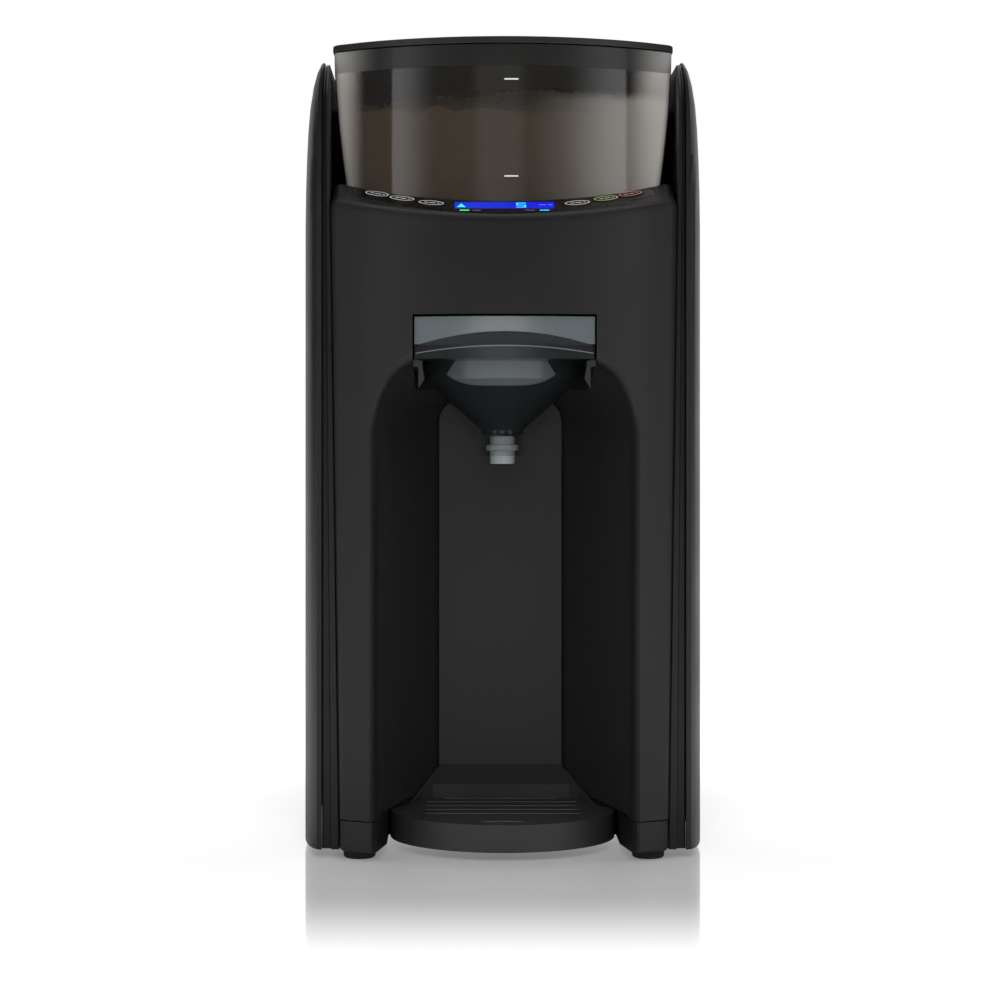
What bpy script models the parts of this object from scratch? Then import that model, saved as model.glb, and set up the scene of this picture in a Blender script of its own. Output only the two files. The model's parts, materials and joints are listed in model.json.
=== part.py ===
"""Baby formula maker: a countertop machine that doses powder and warm water into a bottle.

Metres, +Z up. X runs to the right, Y from the front to the back, and the origin is on the worktop
under the middle of the machine. Depths from the front are given as Y.
"""

import math

import bmesh
import bpy
from mathutils import Vector

for old in list(bpy.data.objects):
    bpy.data.objects.remove(old, do_unlink=True)

# Overall sizes
BODY_DEPTH = 0.285
BODY_HALF = 0.089
FRONT_Y = -BODY_DEPTH / 2
BACK_Y = BODY_DEPTH / 2
FACE_RADIUS = 0.145
FACE_CORNER = 0.005
FOOT_HEIGHT = 0.0035
SEAM_Z = 0.0171
WALL = 0.0025
GAP = 0.0003
OVERRUN = 0.006

# Control deck
DECK_Y = FRONT_Y + 0.02
DECK_Z = 0.2855
DECK_SLOPE_SHARE = 0.43
DECK_THICK = 0.0042
DECK_ROUND_IN = 0.0034
DECK_ROUND_UP = 0.0048
DECK_LEVEL_Z = 0.2945

# Front housing and bottle bay
PANEL_HALF_LOW = BODY_HALF - 0.0177
PANEL_HALF_HIGH = BODY_HALF - 0.0138
HOUSING_BACK_Y = -0.0165
BAY_MOUTH_Y = FRONT_Y + 0.025
BAY_BACK_Y = -0.0225
BAY_HALF = BODY_HALF - 0.0344
BAY_BACK_HALF = BAY_HALF - 0.0252
BAY_TOP = 0.2155
BAY_BACK_TOP = 0.2012
BAY_CORNER_WIDE = 0.0235
BAY_CORNER_TALL = 0.032
BAY_BACK_CORNER = 0.010
BAY_EDGE = 0.0085
BAY_BEND_SHARE = 1.3

# Funnel and its pocket
FUNNEL_Y = -0.0775
POCKET_HALF = 0.0394
POCKET_LOW = 0.2
POCKET_TOP = 0.2352
NECK_R = 0.00945
NECK_LOW = 0.1745
CONE_R = 0.0345
CONE_LOW = 0.186
CONE_HIGH = 0.2086
BOWL_R = 0.0362
FLANGE_HALF = 0.0386
FLANGE_Z = 0.2163
FLANGE_TOP = 0.2221
FUNNEL_WALL = 0.0018
COVER_HIGH = 0.2342
NOZZLE_R = 0.0056
NOZZLE_LOW = 0.171
NOZZLE_HIGH = 0.1837
CHUTE_R = 0.0075
SPRAY_R = 0.0032
SPRAY_Y = -0.074
SPRAY_Z = 0.2285

# Powder container
BIN_FRONT_Y = FRONT_Y + 0.0192
BIN_BACK_Y = 0.02
BIN_HALF = BODY_HALF - 0.0141
BIN_RADIUS = 0.1227
BIN_CORNER = 0.006
BIN_BACK_CORNER = 0.018
BIN_LOW = 0.2625
BIN_HIGH = 0.3532
BIN_TAPER = 0.0046
BIN_TAPER_RISE = 0.054
BIN_TAPER_POWER_SHARE = 1.6
BIN_WALL = 0.0024
BIN_FLOOR = 0.0026
WELL_CLEAR = 0.0009
LID_THICK = 0.0029
LID_CROWN = 0.0009
LID_SKIRT = 0.0112
LID_SKIRT_WALL = 0.002
LID_CLEAR = 0.0012

# Dosing drive
WHEEL_Y = -0.0385
WHEEL_R = 0.0505
BASE_R = 0.0545
BASE_LOW = 0.2489
BASE_FLOOR = 0.0022
FRAME_LOW = POCKET_TOP + WALL + GAP
FRAME_THICK = 0.002
FRAME_HALF = BODY_HALF - 0.0235
GEAR_MODULE = 0.0016
GEAR_TEETH = 32
PINION_TEETH = 20
GEAR_LOW = 0.2408
GEAR_THICK = 0.0046
GEAR_BACKLASH = 0.00035
GEAR_COVER_LOW = 0.2464
GEAR_COVER_THICK = 0.0021
SHAFT_R = 0.0048
HEX_R = 0.0052
MOTOR_R = 0.0165
MOTOR_LENGTH = 0.026

# Side covers and strips
COVER_INNER = BODY_HALF - 0.0097
COVER_FRONT_Y = FRONT_Y + 0.0237
COVER_FULL_Y = FRONT_Y + 0.075
COVER_BACK_CORNER = 0.024
ARM_TOP = 0.350
ARM_ROUND = 0.030
SHOULDER_LOW = 0.262
SHOULDER_POWER_SHARE = 2.4
SHOULDER_TOP_HALF = BODY_HALF - 0.0085
STRIP_HALF_LOW = BODY_HALF - 0.0138
STRIP_HALF_HIGH = BODY_HALF - 0.0116
GROOVE_FLOOR = 0.0028
GROOVE_LIP = 0.0036

# Tray
TRAY_R = BAY_HALF - 0.004
TRAY_Y = -0.0775
TRAY_TOP = 0.0155
TRAY_TONGUE_TOP = 0.0285
TRAY_TONGUE_Y = -0.062
TRAY_RIM = 0.0016
GRILLE_THICK = 0.0022
GRILLE_SHARE = 0.7708
GRILLE_BACK_Y = TRAY_Y + TRAY_R * GRILLE_SHARE
SLOT_WIDE = 0.0016
SLOT_SHARE = 1.3834
SLOT_LONG = TRAY_R * SLOT_SHARE
SLOT_SHORT = 0.0188
SLOT_PITCH_SHARE = 0.2372
SLOT_PITCH = TRAY_R * SLOT_PITCH_SHARE

# Rear housing, tank
TOP_COVER_Z = 0.3445
BULKHEAD_Y = 0.0625
SHELF_Z = 0.120
TANK_FRONT_Y = 0.0634
TANK_BACK_Y = BACK_Y - 0.001
TANK_LOW = 0.1206
TANK_HIGH = 0.338
TANK_CORNER = 0.014
TANK_WALL = 0.0024
TANK_LID_THICK = 0.006
VALVE_X = 0.045
VALVE_Y = 0.085
VALVE_R = 0.0075

# Keys, display and indicators, as shares of the half width, and the crescent behind them
KEY_OUTER_SHARE = 0.6202
KEY_MIDDLE_SHARE = 0.4966
KEY_INNER_SHARE = 0.3539
KEY_LONG_SHARE = 0.1371
DISPLAY_SHARE = 0.4854
LAMP_SHARE = 0.396
PANEL_TIP_SHARE = 0.7472
PANEL_ARC_SHARE = 1.1011
PANEL_ARC = BODY_HALF * PANEL_ARC_SHARE
PANEL_FRONT_Y = FRONT_Y + 0.0019
KEY_LONG = BODY_HALF * KEY_LONG_SHARE
KEY_WIDE = 0.0062
KEY_PROUD = 0.0004
KEY_TRAVEL = 0.0007
KEY_CLEAR = 0.00025
STEM_R = 0.0013
PANEL_THICK = 0.0016
DISPLAY_LONG = BODY_HALF * DISPLAY_SHARE
DISPLAY_WIDE = 0.0086
DISPLAY_Y = FRONT_Y + 0.0132
LAMP_LONG = 0.0044
LAMP_WIDE = 0.0016
LAMP_X = DISPLAY_LONG * LAMP_SHARE
LAMP_Y = FRONT_Y + 0.00685
KEY_SETTING = {
    "key_outer_left": (-KEY_OUTER_SHARE, 0.62, 0.45),
    "key_middle_left": (-KEY_MIDDLE_SHARE, 0.587, 0.36),
    "key_inner_left": (-KEY_INNER_SHARE, 0.506, 0.27),
    "key_inner_right": (KEY_INNER_SHARE, 0.506, -0.27),
    "key_middle_right": (KEY_MIDDLE_SHARE, 0.587, -0.36),
    "key_outer_right": (KEY_OUTER_SHARE, 0.62, -0.45),
}
KEY_PLACES = {}
for key_name, (share, depth_share, tilt) in KEY_SETTING.items():
    key_x = BODY_HALF * share
    key_front = PANEL_FRONT_Y + PANEL_ARC - math.sqrt(PANEL_ARC**2 - key_x**2)
    key_back = BIN_FRONT_Y + BIN_RADIUS - math.sqrt(BIN_RADIUS**2 - key_x**2)
    KEY_PLACES[key_name] = (key_x, key_front + (key_back - key_front) * depth_share, tilt)

# Base, feet and rear housing details
BASE_ROUND = 0.0012
TRAY_SIDE_CLEAR = 0.0009
TRAY_BASE_CLEAR = 0.0007
REAR_FACE_Y = BACK_Y - 0.0007
FOOT_R = 0.007
FOOT_SEAT = 0.0012
FOOT_ROUND = 0.0008
FOOT_PLACES = {
    "foot_front_left": (0.0262 - BODY_HALF, FRONT_Y + 0.026),
    "foot_front_right": (BODY_HALF - 0.0262, FRONT_Y + 0.026),
    "foot_rear_left": (0.0312 - BODY_HALF, BACK_Y - 0.0205),
    "foot_rear_right": (BODY_HALF - 0.0312, BACK_Y - 0.0205),
}
STRIP_BACK_Y = BACK_Y - 0.0027
SKIRT_LOW = 0.3
VENT_COUNT = 6
VENT_LOW = 0.07
VENT_PITCH = 0.006
VENT_LONG = 0.07
VENT_WIDE = 0.0022
INLET_HALF = 0.0135
INLET_TALL = 0.02
INLET_X = 0.044 - BODY_HALF
INLET_Z = 0.04
INLET_DEEP = 0.018
SEAT_R = 0.012

# The glossy crescent's outline
PANEL_TIP_X = BODY_HALF * PANEL_TIP_SHARE
PANEL_TIP_CUT = 0.0012
PANEL_BACK_CLEAR = 0.0022
ARC_SPAN_SHARE = 0.84

# Colours
BLACK = (0.028, 0.028, 0.028)
DARK = (0.016, 0.016, 0.016)
SMOKE = (0.09, 0.08, 0.07)
GREY = (0.32, 0.34, 0.35)
WHITE = (0.7, 0.7, 0.68)
STEEL = (0.55, 0.55, 0.56)
GREEN = (0.05, 0.22, 0.08)
LIGHT_BLACK = (0.045, 0.045, 0.045)
BLUE_BLACK = (0.05, 0.055, 0.056)
DISPLAY_BLUE = (0.02, 0.03, 0.6)
LAMP_GREEN = (0.1, 0.8, 0.2)
LAMP_CYAN = (0.1, 0.6, 0.9)

# Mid frame and gears
FRAME_FRONT_Y = -0.098
FRAME_BACK_Y = 0.0242
FRAME_LEG = 0.008
PINION_Y = WHEEL_Y + GEAR_MODULE * (GEAR_TEETH + PINION_TEETH) / 2
MOTOR_SHAFT_R = 0.0015
SHAFT_CLEAR = 0.0001
ADDENDUM_SHARE = 0.95
DEDENDUM_SHARE = 1.3
HEX_TOP = 0.2585
HEX_CLEAR = 0.00035

# Dosing wheel
HUB_R = 0.009
WHEEL_THICK = 0.0065
POCKET_COUNT = 10
DOSE_R = 0.0055
ARM_COUNT = 4
STIR_TALL = 0.0145
STIR_THICK = 0.0024

# Lid and seal
LID_LIP = 0.0006
LID_EDGE = 0.0004
LID_CROWN_IN = 0.016
SEAL_Z = 0.3465
SEAL_TALL = 0.0022
SEAL_CLEAR = 0.0003

# Funnel cover and rails
FUNNEL_SETBACK = 0.0032
COVER_SETBACK = 0.0012
ARCH_HALF = 0.0366
ARCH_RISE = 0.0055
RAIL_WIDE = 0.0022
RAIL_TALL = 0.003
HOOK_TALL = 0.0125
HOOK_DEEP = 0.0026

# Slots, hooks and bends
SLOT_ROUND_SHARE = 1 / 2.1
HOOK_BEND_SHARE = 0.6
TONGUE_BEND_SHARE = 1.4
HOSE_HIGH_SHARE = 0.62
HOSE_LOW_SHARE = 0.4
BLOCK_DEEP_SHARE = 0.8
BLOCK_TALL_SHARE = 0.55
CAPACITOR_R = 0.004
SLOT_ROWS = 6
SLOT_FRONT_SHARE = 0.751
SLOT_FRONT_Y = TRAY_Y - TRAY_R * SLOT_FRONT_SHARE

# Tank and its lid
TANK_CLEAR = 0.0006
EAR_X = 0.021
EAR_THICK = 0.005
HINGE_Y = TANK_BACK_Y - 0.0047
HINGE_Z = 0.3445
HINGE_PIN_R = 0.0016
HINGE_R = 0.0038
SPIGOT_LOW = 0.104

# Heater, pump and hoses
PIN_R = 0.0013
HEATER_SHARE = 0.3371
HEATER_R_SHARE = 0.2472
PUMP_SHARE = 0.4045
PUMP_R_SHARE = 0.2022
HEATER_X = BODY_HALF * HEATER_SHARE
HEATER_Y = 0.024
HEATER_R = BODY_HALF * HEATER_R_SHARE
HEATER_TOP = 0.13
PUMP_X = -BODY_HALF * PUMP_SHARE
PUMP_Y = 0.026
PUMP_R = BODY_HALF * PUMP_R_SHARE
PUMP_TOP = 0.062
HOSE_R = 0.0032
NIPPLE_TALL = 0.008
PIPE_X = BODY_HALF - 0.035

# Boards
BOARD_LIFT = 0.005
BOARD_THICK = 0.0016
BOARD_HALF = 0.038
BOARD_FRONT_Y = 0.062
BOARD_BACK_Y = 0.108
BOARD_INSET = 0.0035
SWITCH_WIDE = 0.0022
STANDOFF_X = DISPLAY_LONG / 2 + 0.0029
STANDOFF_Y = FRONT_Y + 0.0123


def material(obj, colour, roughness=0.45, metallic=0.0):
    """Gives the object a plastic or metal finish of its own."""
    finish = bpy.data.materials.new(obj.name)
    finish.use_nodes = True
    shader = finish.node_tree.nodes["Principled BSDF"]
    shader.inputs["Base Color"].default_value = (*colour, 1)
    shader.inputs["Roughness"].default_value = roughness
    shader.inputs["Metallic"].default_value = metallic
    obj.data.materials.append(finish)
    return obj


def body_from(name, points, faces):
    """An object from points and faces, with its faces turned outwards."""
    mesh = bpy.data.meshes.new(name)
    mesh.from_pydata(points, [], faces)
    work = bmesh.new()
    work.from_mesh(mesh)
    bmesh.ops.recalc_face_normals(work, faces=work.faces)
    work.to_mesh(mesh)
    work.free()
    mesh.shade_smooth()
    mesh.set_sharp_from_angle(angle=math.radians(35))
    obj = bpy.data.objects.new(name, mesh)
    bpy.context.collection.objects.link(obj)
    return obj


def loft(name, rings):
    """A closed body through rings that hold the same number of points, capped at both ends."""
    count = len(rings[0])
    points = [point for ring in rings for point in ring]
    last = count * (len(rings) - 1)
    faces = [list(range(count)), list(range(last, last + count))]
    for row in range(len(rings) - 1):
        for i in range(count):
            j = (i + 1) % count
            low, high = row * count, (row + 1) * count
            faces.append((low + i, low + j, high + j, high + i))
    return body_from(name, points, faces)


def prism(name, outline, low, high, axis="Z"):
    """An outline pushed along one axis, from low to high."""
    place = {
        "X": lambda a, b, w: (w, a, b),
        "Y": lambda a, b, w: (a, w, b),
        "Z": lambda a, b, w: (a, b, w),
    }[axis]
    return loft(name, [[place(a, b, w) for a, b in outline] for w in (low, high)])


def turned(name, profile, centre, steps=32):
    """A body turned about a vertical axis. The profile's points are (radius, height) round its section."""
    points, rows = [], []
    for radius, height in profile:
        if radius == 0:
            rows.append([len(points)] * steps)
            points.append((centre[0], centre[1], height))
            continue
        rows.append(list(range(len(points), len(points) + steps)))
        for step in range(steps):
            angle = math.tau * step / steps
            x = centre[0] + radius * math.cos(angle)
            y = centre[1] + radius * math.sin(angle)
            points.append((x, y, height))
    faces = []
    ends = len(rows) if profile[0][0] and profile[-1][0] else len(rows) - 1
    for k in range(ends):
        here, after = rows[k], rows[(k + 1) % len(rows)]
        for i in range(steps):
            j = (i + 1) % steps
            face = []
            for index in (here[i], here[j], after[j], after[i]):
                if index not in face:
                    face.append(index)
            if len(face) > 2:
                faces.append(face)
    return body_from(name, points, faces)


def use(body, other, operation):
    """Adds a Boolean with a hidden cutter."""
    modifier = body.modifiers.new(other.name, "BOOLEAN")
    modifier.object = other
    modifier.operation = operation
    other.hide_render = True
    other.display_type = "WIRE"


def cut(body, *others):
    for other in others:
        use(body, other, "DIFFERENCE")
    return body


def join(body, *others):
    for other in others:
        use(body, other, "UNION")
    return body


def smooth(obj, degrees=35):
    """Shades what the Booleans leave."""
    obj.data.shade_smooth()
    obj.data.set_sharp_from_angle(angle=math.radians(degrees))
    return obj


def rounded(corners, steps=4):
    """A closed outline whose corners, given as (a, b, radius), are rounded."""
    points = []
    for i, (a, b, radius) in enumerate(corners):
        if not radius:
            points.append((a, b))
            continue
        here = Vector((a, b))
        before = (Vector(corners[i - 1][:2]) - here).normalized()
        after = (Vector(corners[(i + 1) % len(corners)][:2]) - here).normalized()
        half = before.angle(after) / 2
        centre = here + (before + after).normalized() * (radius / math.sin(half))
        start = here + before * (radius / math.tan(half)) - centre
        end = here + after * (radius / math.tan(half)) - centre
        first = math.atan2(start.y, start.x)
        sweep = math.atan2(end.y, end.x) - first
        sweep = (sweep + math.pi) % math.tau - math.pi
        for step in range(steps + 1):
            angle = first + sweep * step / steps
            points.append((centre.x + radius * math.cos(angle), centre.y + radius * math.sin(angle)))
    return points


def box_outline(half, low, high, radius=0.0, steps=4):
    corners = [(-half, low, radius), (half, low, radius), (half, high, radius), (-half, high, radius)]
    return rounded(corners, steps)


def disc(name, x, y, radius, low, high, steps=24):
    return turned(name, [(0, low), (radius, low), (radius, high), (0, high)], (x, y), steps)


def rod(name, y, z, radius, low, high, steps=16):
    """A bar along X."""
    ring = [(y + radius * math.cos(math.tau * s / steps), z + radius * math.sin(math.tau * s / steps))
            for s in range(steps)]
    return prism(name, ring, low, high, "X")


def deck_height(y):
    return DECK_Z + (y - DECK_Y) * DECK_SLOPE_SHARE


def panel_half(z):
    """Half the front housing's width, which grows a little towards the top."""
    share = (z - FOOT_HEIGHT) / (DECK_Z - FOOT_HEIGHT)
    return PANEL_HALF_LOW + (PANEL_HALF_HIGH - PANEL_HALF_LOW) * share


def bay_half(y):
    """Half the bottle bay's width at a depth: its side walls curve in towards the back panel."""
    back = 1 - (BAY_BACK_HALF / BAY_HALF) ** 2
    share = max((y - BAY_MOUTH_Y) / (BAY_BACK_Y - BAY_MOUTH_Y), 0)
    return BAY_HALF * math.sqrt(1 - back * share**BAY_BEND_SHARE)


def bowed_outline(half, inset, rear, radius, front, corner, rear_corner=0.0, arc_steps=14):
    """A plan outline with a bowed front, rounded corners and straight sides."""
    reach = half - inset
    bow = radius - inset
    centre = front + radius
    arc = []
    for step in range(arc_steps + 1):
        x = reach * ARC_SPAN_SHARE * (2 * step / arc_steps - 1)
        arc.append((x, centre - math.sqrt(bow**2 - x**2), 0))
    edge_y = centre - math.sqrt(bow**2 - reach**2)
    rear_inset = max(rear_corner - inset, 0) if rear_corner else 0
    sides = [(reach, edge_y, corner), (reach, rear, rear_inset), (-reach, rear, rear_inset)]
    return rounded([*arc, *sides, (-reach, edge_y, corner)])


def housing_outline(half, inset, rear=HOUSING_BACK_Y):
    corner = max(FACE_CORNER - inset, FACE_CORNER / 4)
    return bowed_outline(half, inset, rear, FACE_RADIUS, FRONT_Y, corner)


def bin_inset(z):
    """How far the container's sides have drawn in at a height."""
    share = max(BIN_HIGH - z, 0) / BIN_TAPER_RISE
    return BIN_TAPER * share**BIN_TAPER_POWER_SHARE


def bin_outline(z, grow=0.0):
    """The container's plan outline at a height, grown or shrunk by a clearance."""
    half = BIN_HALF - bin_inset(z)
    corner = max(BIN_CORNER + grow, BIN_CORNER / 4)
    back = max(BIN_BACK_CORNER + grow, BIN_BACK_CORNER / 4)
    reach = half + grow
    centre = BIN_FRONT_Y + BIN_RADIUS
    bow = BIN_RADIUS + grow
    arc = []
    for step in range(15):
        x = reach * ARC_SPAN_SHARE * (2 * step / 14 - 1)
        arc.append((x, centre - math.sqrt(bow**2 - x**2), 0))
    edge_y = centre - math.sqrt(bow**2 - reach**2)
    rear = BIN_BACK_Y + grow
    corners = [*arc, (reach, edge_y, corner), (reach, rear, back), (-reach, rear, back)]
    return rounded([*corners, (-reach, edge_y, corner)])


def bin_ring(z, grow=0.0):
    return [(x, y, z) for x, y in bin_outline(z, grow)]


def arch_outline(y, grow=0.0):
    """The bottle bay's outline at a depth, from the foot of one side over the arch to the other."""
    share = min(max((y - BAY_MOUTH_Y) / (BAY_BACK_Y - BAY_MOUTH_Y), 0), 1)
    half = bay_half(y)
    top = BAY_TOP + (BAY_BACK_TOP - BAY_TOP) * share
    wide = BAY_CORNER_WIDE + (BAY_BACK_CORNER - BAY_CORNER_WIDE) * share
    tall = BAY_CORNER_TALL + (BAY_BACK_CORNER - BAY_CORNER_TALL) * share
    left = [(-half, FOOT_HEIGHT)]
    for step in range(7):
        angle = math.pi / 2 * step / 6
        left.append((-half + wide * (1 - math.cos(angle)), top - tall * (1 - math.sin(angle))))
    normals = [(-1, 0)] + [(-math.cos(math.pi / 2 * s / 6),
                            math.sin(math.pi / 2 * s / 6)) for s in range(7)]
    points = [(x + nx * grow, z + nz * grow) for (x, z), (nx, nz) in zip(left, normals)]
    return points + [(-x, z) for x, z in reversed(points)]


def face_y(x):
    return FRONT_Y + FACE_RADIUS - math.sqrt(FACE_RADIUS**2 - x**2)


def bay_body(name, grow=0.0):
    """The bay's hollow: an arch that narrows towards the back and rolls outwards at the front face."""
    mouth = arch_outline(BAY_MOUTH_Y)
    out = FRONT_Y - OVERRUN
    flare = []
    for step in range(5):
        angle = math.pi / 2 * step / 4
        off = BAY_EDGE * (1 - math.sin(angle))
        ring = arch_outline(BAY_MOUTH_Y, off + grow)
        depths = [face_y(x) + BAY_EDGE * (1 - math.cos(angle)) for x, z in mouth]
        flare.append([(x, y, z) for (x, z), y in zip(ring, depths)])
    front = [(x, out, z) for x, z in arch_outline(BAY_MOUTH_Y, BAY_EDGE + grow)]
    rings = [front, *flare]
    for step in range(1, 8):
        y = BAY_MOUTH_Y + (BAY_BACK_Y - BAY_MOUTH_Y) * step / 7
        rings.append([(x, y, z) for x, z in arch_outline(y, grow)])
    behind = HOUSING_BACK_Y + OVERRUN
    rings.append([(x, behind, z) for x, z in arch_outline(BAY_BACK_Y, grow)])
    return loft(name, rings)


def pocket_body(name, grow=0.0):
    """The pocket that the funnel slides into, square in front and round behind."""
    half = POCKET_HALF + grow
    outline = [(-half, FRONT_Y - OVERRUN), (half, FRONT_Y - OVERRUN)]
    for step in range(13):
        angle = math.pi * step / 12
        outline.append((half * math.cos(angle), FUNNEL_Y + half * math.sin(angle)))
    return prism(name, outline, POCKET_LOW - grow, POCKET_TOP + grow)


def well_body(name, grow):
    """The hollow that the container stands in."""
    return loft(name, [bin_ring(z, grow) for z in [FRAME_LOW + GAP, *bin_levels(), BIN_HIGH + OVERRUN]])


def bin_levels():
    """Heights at which the container is drawn, closer together where its sides draw in."""
    levels = [BIN_LOW + BIN_FLOOR + BIN_TAPER * 2 * k for k in range(4)]
    return levels + [DECK_Z + (BIN_HIGH - DECK_Z) * k / 3 for k in range(1, 4)]


def front_housing():
    """The bowed front moulding: face, deck, bottle bay and funnel pocket in one shell."""
    low = SEAM_Z + GAP / 2
    half_low, half_high = panel_half(low), PANEL_HALF_HIGH
    top_ring = housing_outline(half_high, DECK_ROUND_IN)
    rings = [[(x, y, low) for x, y in housing_outline(half_low, 0)]]
    for step in range(4):
        angle = math.pi / 2 * step / 3
        ring = housing_outline(half_high, DECK_ROUND_IN * (1 - math.cos(angle)))
        drop = DECK_ROUND_UP * (1 - math.sin(angle))
        rings.append([(x, y, deck_height(t[1]) - drop) for (x, y), t in zip(ring, top_ring)])
    body = loft("front_housing", rings)
    under = DECK_THICK / math.cos(math.atan(DECK_SLOPE_SHARE))
    rear = HOUSING_BACK_Y + OVERRUN
    inner_low = [(x, y, low - OVERRUN) for x, y in housing_outline(half_low, WALL, rear)]
    inner_high = [(x, y, deck_height(y) - under) for x, y in housing_outline(half_high, WALL, rear)]
    core = loft("housing_core", [inner_low, inner_high])
    cut(core, level_body("core_level", DECK_LEVEL_Z - WALL))
    cut(body, level_body("deck_level", DECK_LEVEL_Z))
    cut(core, bay_body("bay_wall", WALL), pocket_body("pocket_wall", WALL))
    cut(body, core, bay_body("bay_hollow"), pocket_body("pocket_hollow"))
    cut(body, well_body("well_hollow", WELL_CLEAR), panel_blank("panel_recess", GAP, OVERRUN))
    cut(body, disc("chute_hole", 0, FUNNEL_Y, CHUTE_R, POCKET_TOP - OVERRUN, FRAME_LOW + OVERRUN))
    cut(body, rod("spray_hole", SPRAY_Y, SPRAY_Z, SPRAY_R + GAP, POCKET_HALF - OVERRUN,
                  POCKET_HALF + OVERRUN))
    for name, (x, y, turn) in KEY_PLACES.items():
        cut(body, key_body(name + "_way", x, y, turn, KEY_CLEAR, -PANEL_THICK - KEY_TRAVEL - GAP, OVERRUN))
        cut(body, stem_body(name + "_stem_way", x, y, KEY_CLEAR, -DECK_THICK - OVERRUN, 0))
    for side in (-1, 1):
        cut(body, deck_bar(f"lamp_way_{side}", side * LAMP_X, LAMP_Y, LAMP_LONG, LAMP_WIDE, -OVERRUN))
    cut(body, deck_bar("display_way", 0, DISPLAY_Y, DISPLAY_LONG, DISPLAY_WIDE, -OVERRUN))
    return material(smooth(body), BLACK)


def level_body(name, low):
    """What is taken off where the deck would rise above its level ledges beside the container."""
    return prism(name, box_outline(BODY_HALF, FRONT_Y - OVERRUN, BACK_Y), low, BIN_HIGH)


def deck_point(x, y, lift):
    """A point above the deck at a plan place, lifted along the deck's normal."""
    lean = math.atan(DECK_SLOPE_SHARE)
    return (x, y - lift * math.sin(lean), deck_height(y) + lift * math.cos(lean))


def deck_loft(name, outline, low, high):
    """A plan outline pushed square to the deck."""
    return loft(name, [[deck_point(x, y, lift) for x, y in outline] for lift in (low, high)])


def panel_outline(grow):
    """The glossy crescent: a flatter arc in front, the container's well behind."""
    front, half = PANEL_FRONT_Y - grow, PANEL_TIP_X + grow
    bow = BIN_RADIUS + PANEL_BACK_CLEAR - grow
    centre = BIN_FRONT_Y + BIN_RADIUS
    points = []
    for step in range(17):
        x = half * (2 * step / 16 - 1)
        points.append((x, front + PANEL_ARC - math.sqrt(PANEL_ARC**2 - x**2)))
    for step in range(15):
        x = (half - PANEL_TIP_CUT) * (1 - 2 * step / 14)
        points.append((x, centre - math.sqrt(bow**2 - x**2)))
    return points


def panel_blank(name, grow, proud):
    low = -PANEL_THICK - grow
    return deck_loft(name, panel_outline(grow), low, proud)


def key_body(name, x, y, turn, grow, low, high, steps=16):
    """An oval pushed square to the deck."""
    outline = []
    for step in range(steps):
        angle = math.tau * step / steps
        a = (KEY_LONG / 2 + grow) * math.cos(angle)
        b = (KEY_WIDE / 2 + grow) * math.sin(angle)
        outline.append((x + a * math.cos(turn) + b * math.sin(turn),
                        y - a * math.sin(turn) + b * math.cos(turn)))
    return deck_loft(name, outline, low, high)


def stem_body(name, x, y, grow, low, high):
    """A round stem square to the deck."""
    radius = STEM_R + grow
    ring = [(x + radius * math.cos(math.tau * s / 10),
             y + radius * math.sin(math.tau * s / 10)) for s in range(10)]
    return deck_loft(name, ring, low, high)


def deck_bar(name, x, y, long, wide, low, high=OVERRUN, corner=0.0):
    corners = [(-1, -1), (1, -1), (1, 1), (-1, 1)]
    outline = rounded([(x + a * long / 2, y + b * wide / 2, corner) for a, b in corners], 3)
    return deck_loft(name, outline, low, high)


def base_outline(inset, rear):
    return bowed_outline(PANEL_HALF_LOW, inset, rear, FACE_RADIUS, FRONT_Y, FACE_CORNER)


def tray_outline(grow):
    """The tray's plan outline: round in front, with a tongue that runs back to the bay's back panel."""
    points = []
    for step in range(25):
        angle = math.pi * (1 + step / 24)
        points.append(((TRAY_R + grow) * math.cos(angle), TRAY_Y + (TRAY_R + grow) * math.sin(angle)))
    right = [(x, min(y, BAY_BACK_Y - GAP)) for x, y in tongue_side(grow)]
    return points + right + [(-x, y) for x, y in reversed(right)]


def tongue_side(grow):
    """The right side of the tray's tongue, which keeps inside the bay's wall."""
    side = []
    for step in range(1, 8):
        y = TRAY_Y + (BAY_BACK_Y - TRAY_Y) * step / 7
        side.append((bay_half(y) - TRAY_SIDE_CLEAR + grow, y))
    return side


def base_plate():
    """The bottom moulding: two legs beside the tray and a hollow block behind it, open at the top."""
    low, high = FOOT_HEIGHT, SEAM_Z - GAP / 2
    rear = REAR_FACE_Y - GAP
    rings = [(BASE_ROUND, low), (0, low + BASE_ROUND), (0, high)]
    body = loft("base_plate", [[(x, y, z) for x, y in base_outline(i, rear)] for i, z in rings])
    core = prism("base_core", base_outline(WALL, rear - WALL), low + WALL, high + OVERRUN)
    keep = prism("base_bay_wall", bay_cut_outline(WALL), low - OVERRUN, high + OVERRUN * 2)
    cut(core, keep)
    cut(body, core, prism("base_bay", bay_cut_outline(0), low - OVERRUN, high + OVERRUN))
    for name, (x, y) in FOOT_PLACES.items():
        cut(body, disc(name + "_seat", x, y, FOOT_R + GAP, low - OVERRUN, low + FOOT_SEAT + GAP))
    return material(smooth(body), BLACK)


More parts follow.
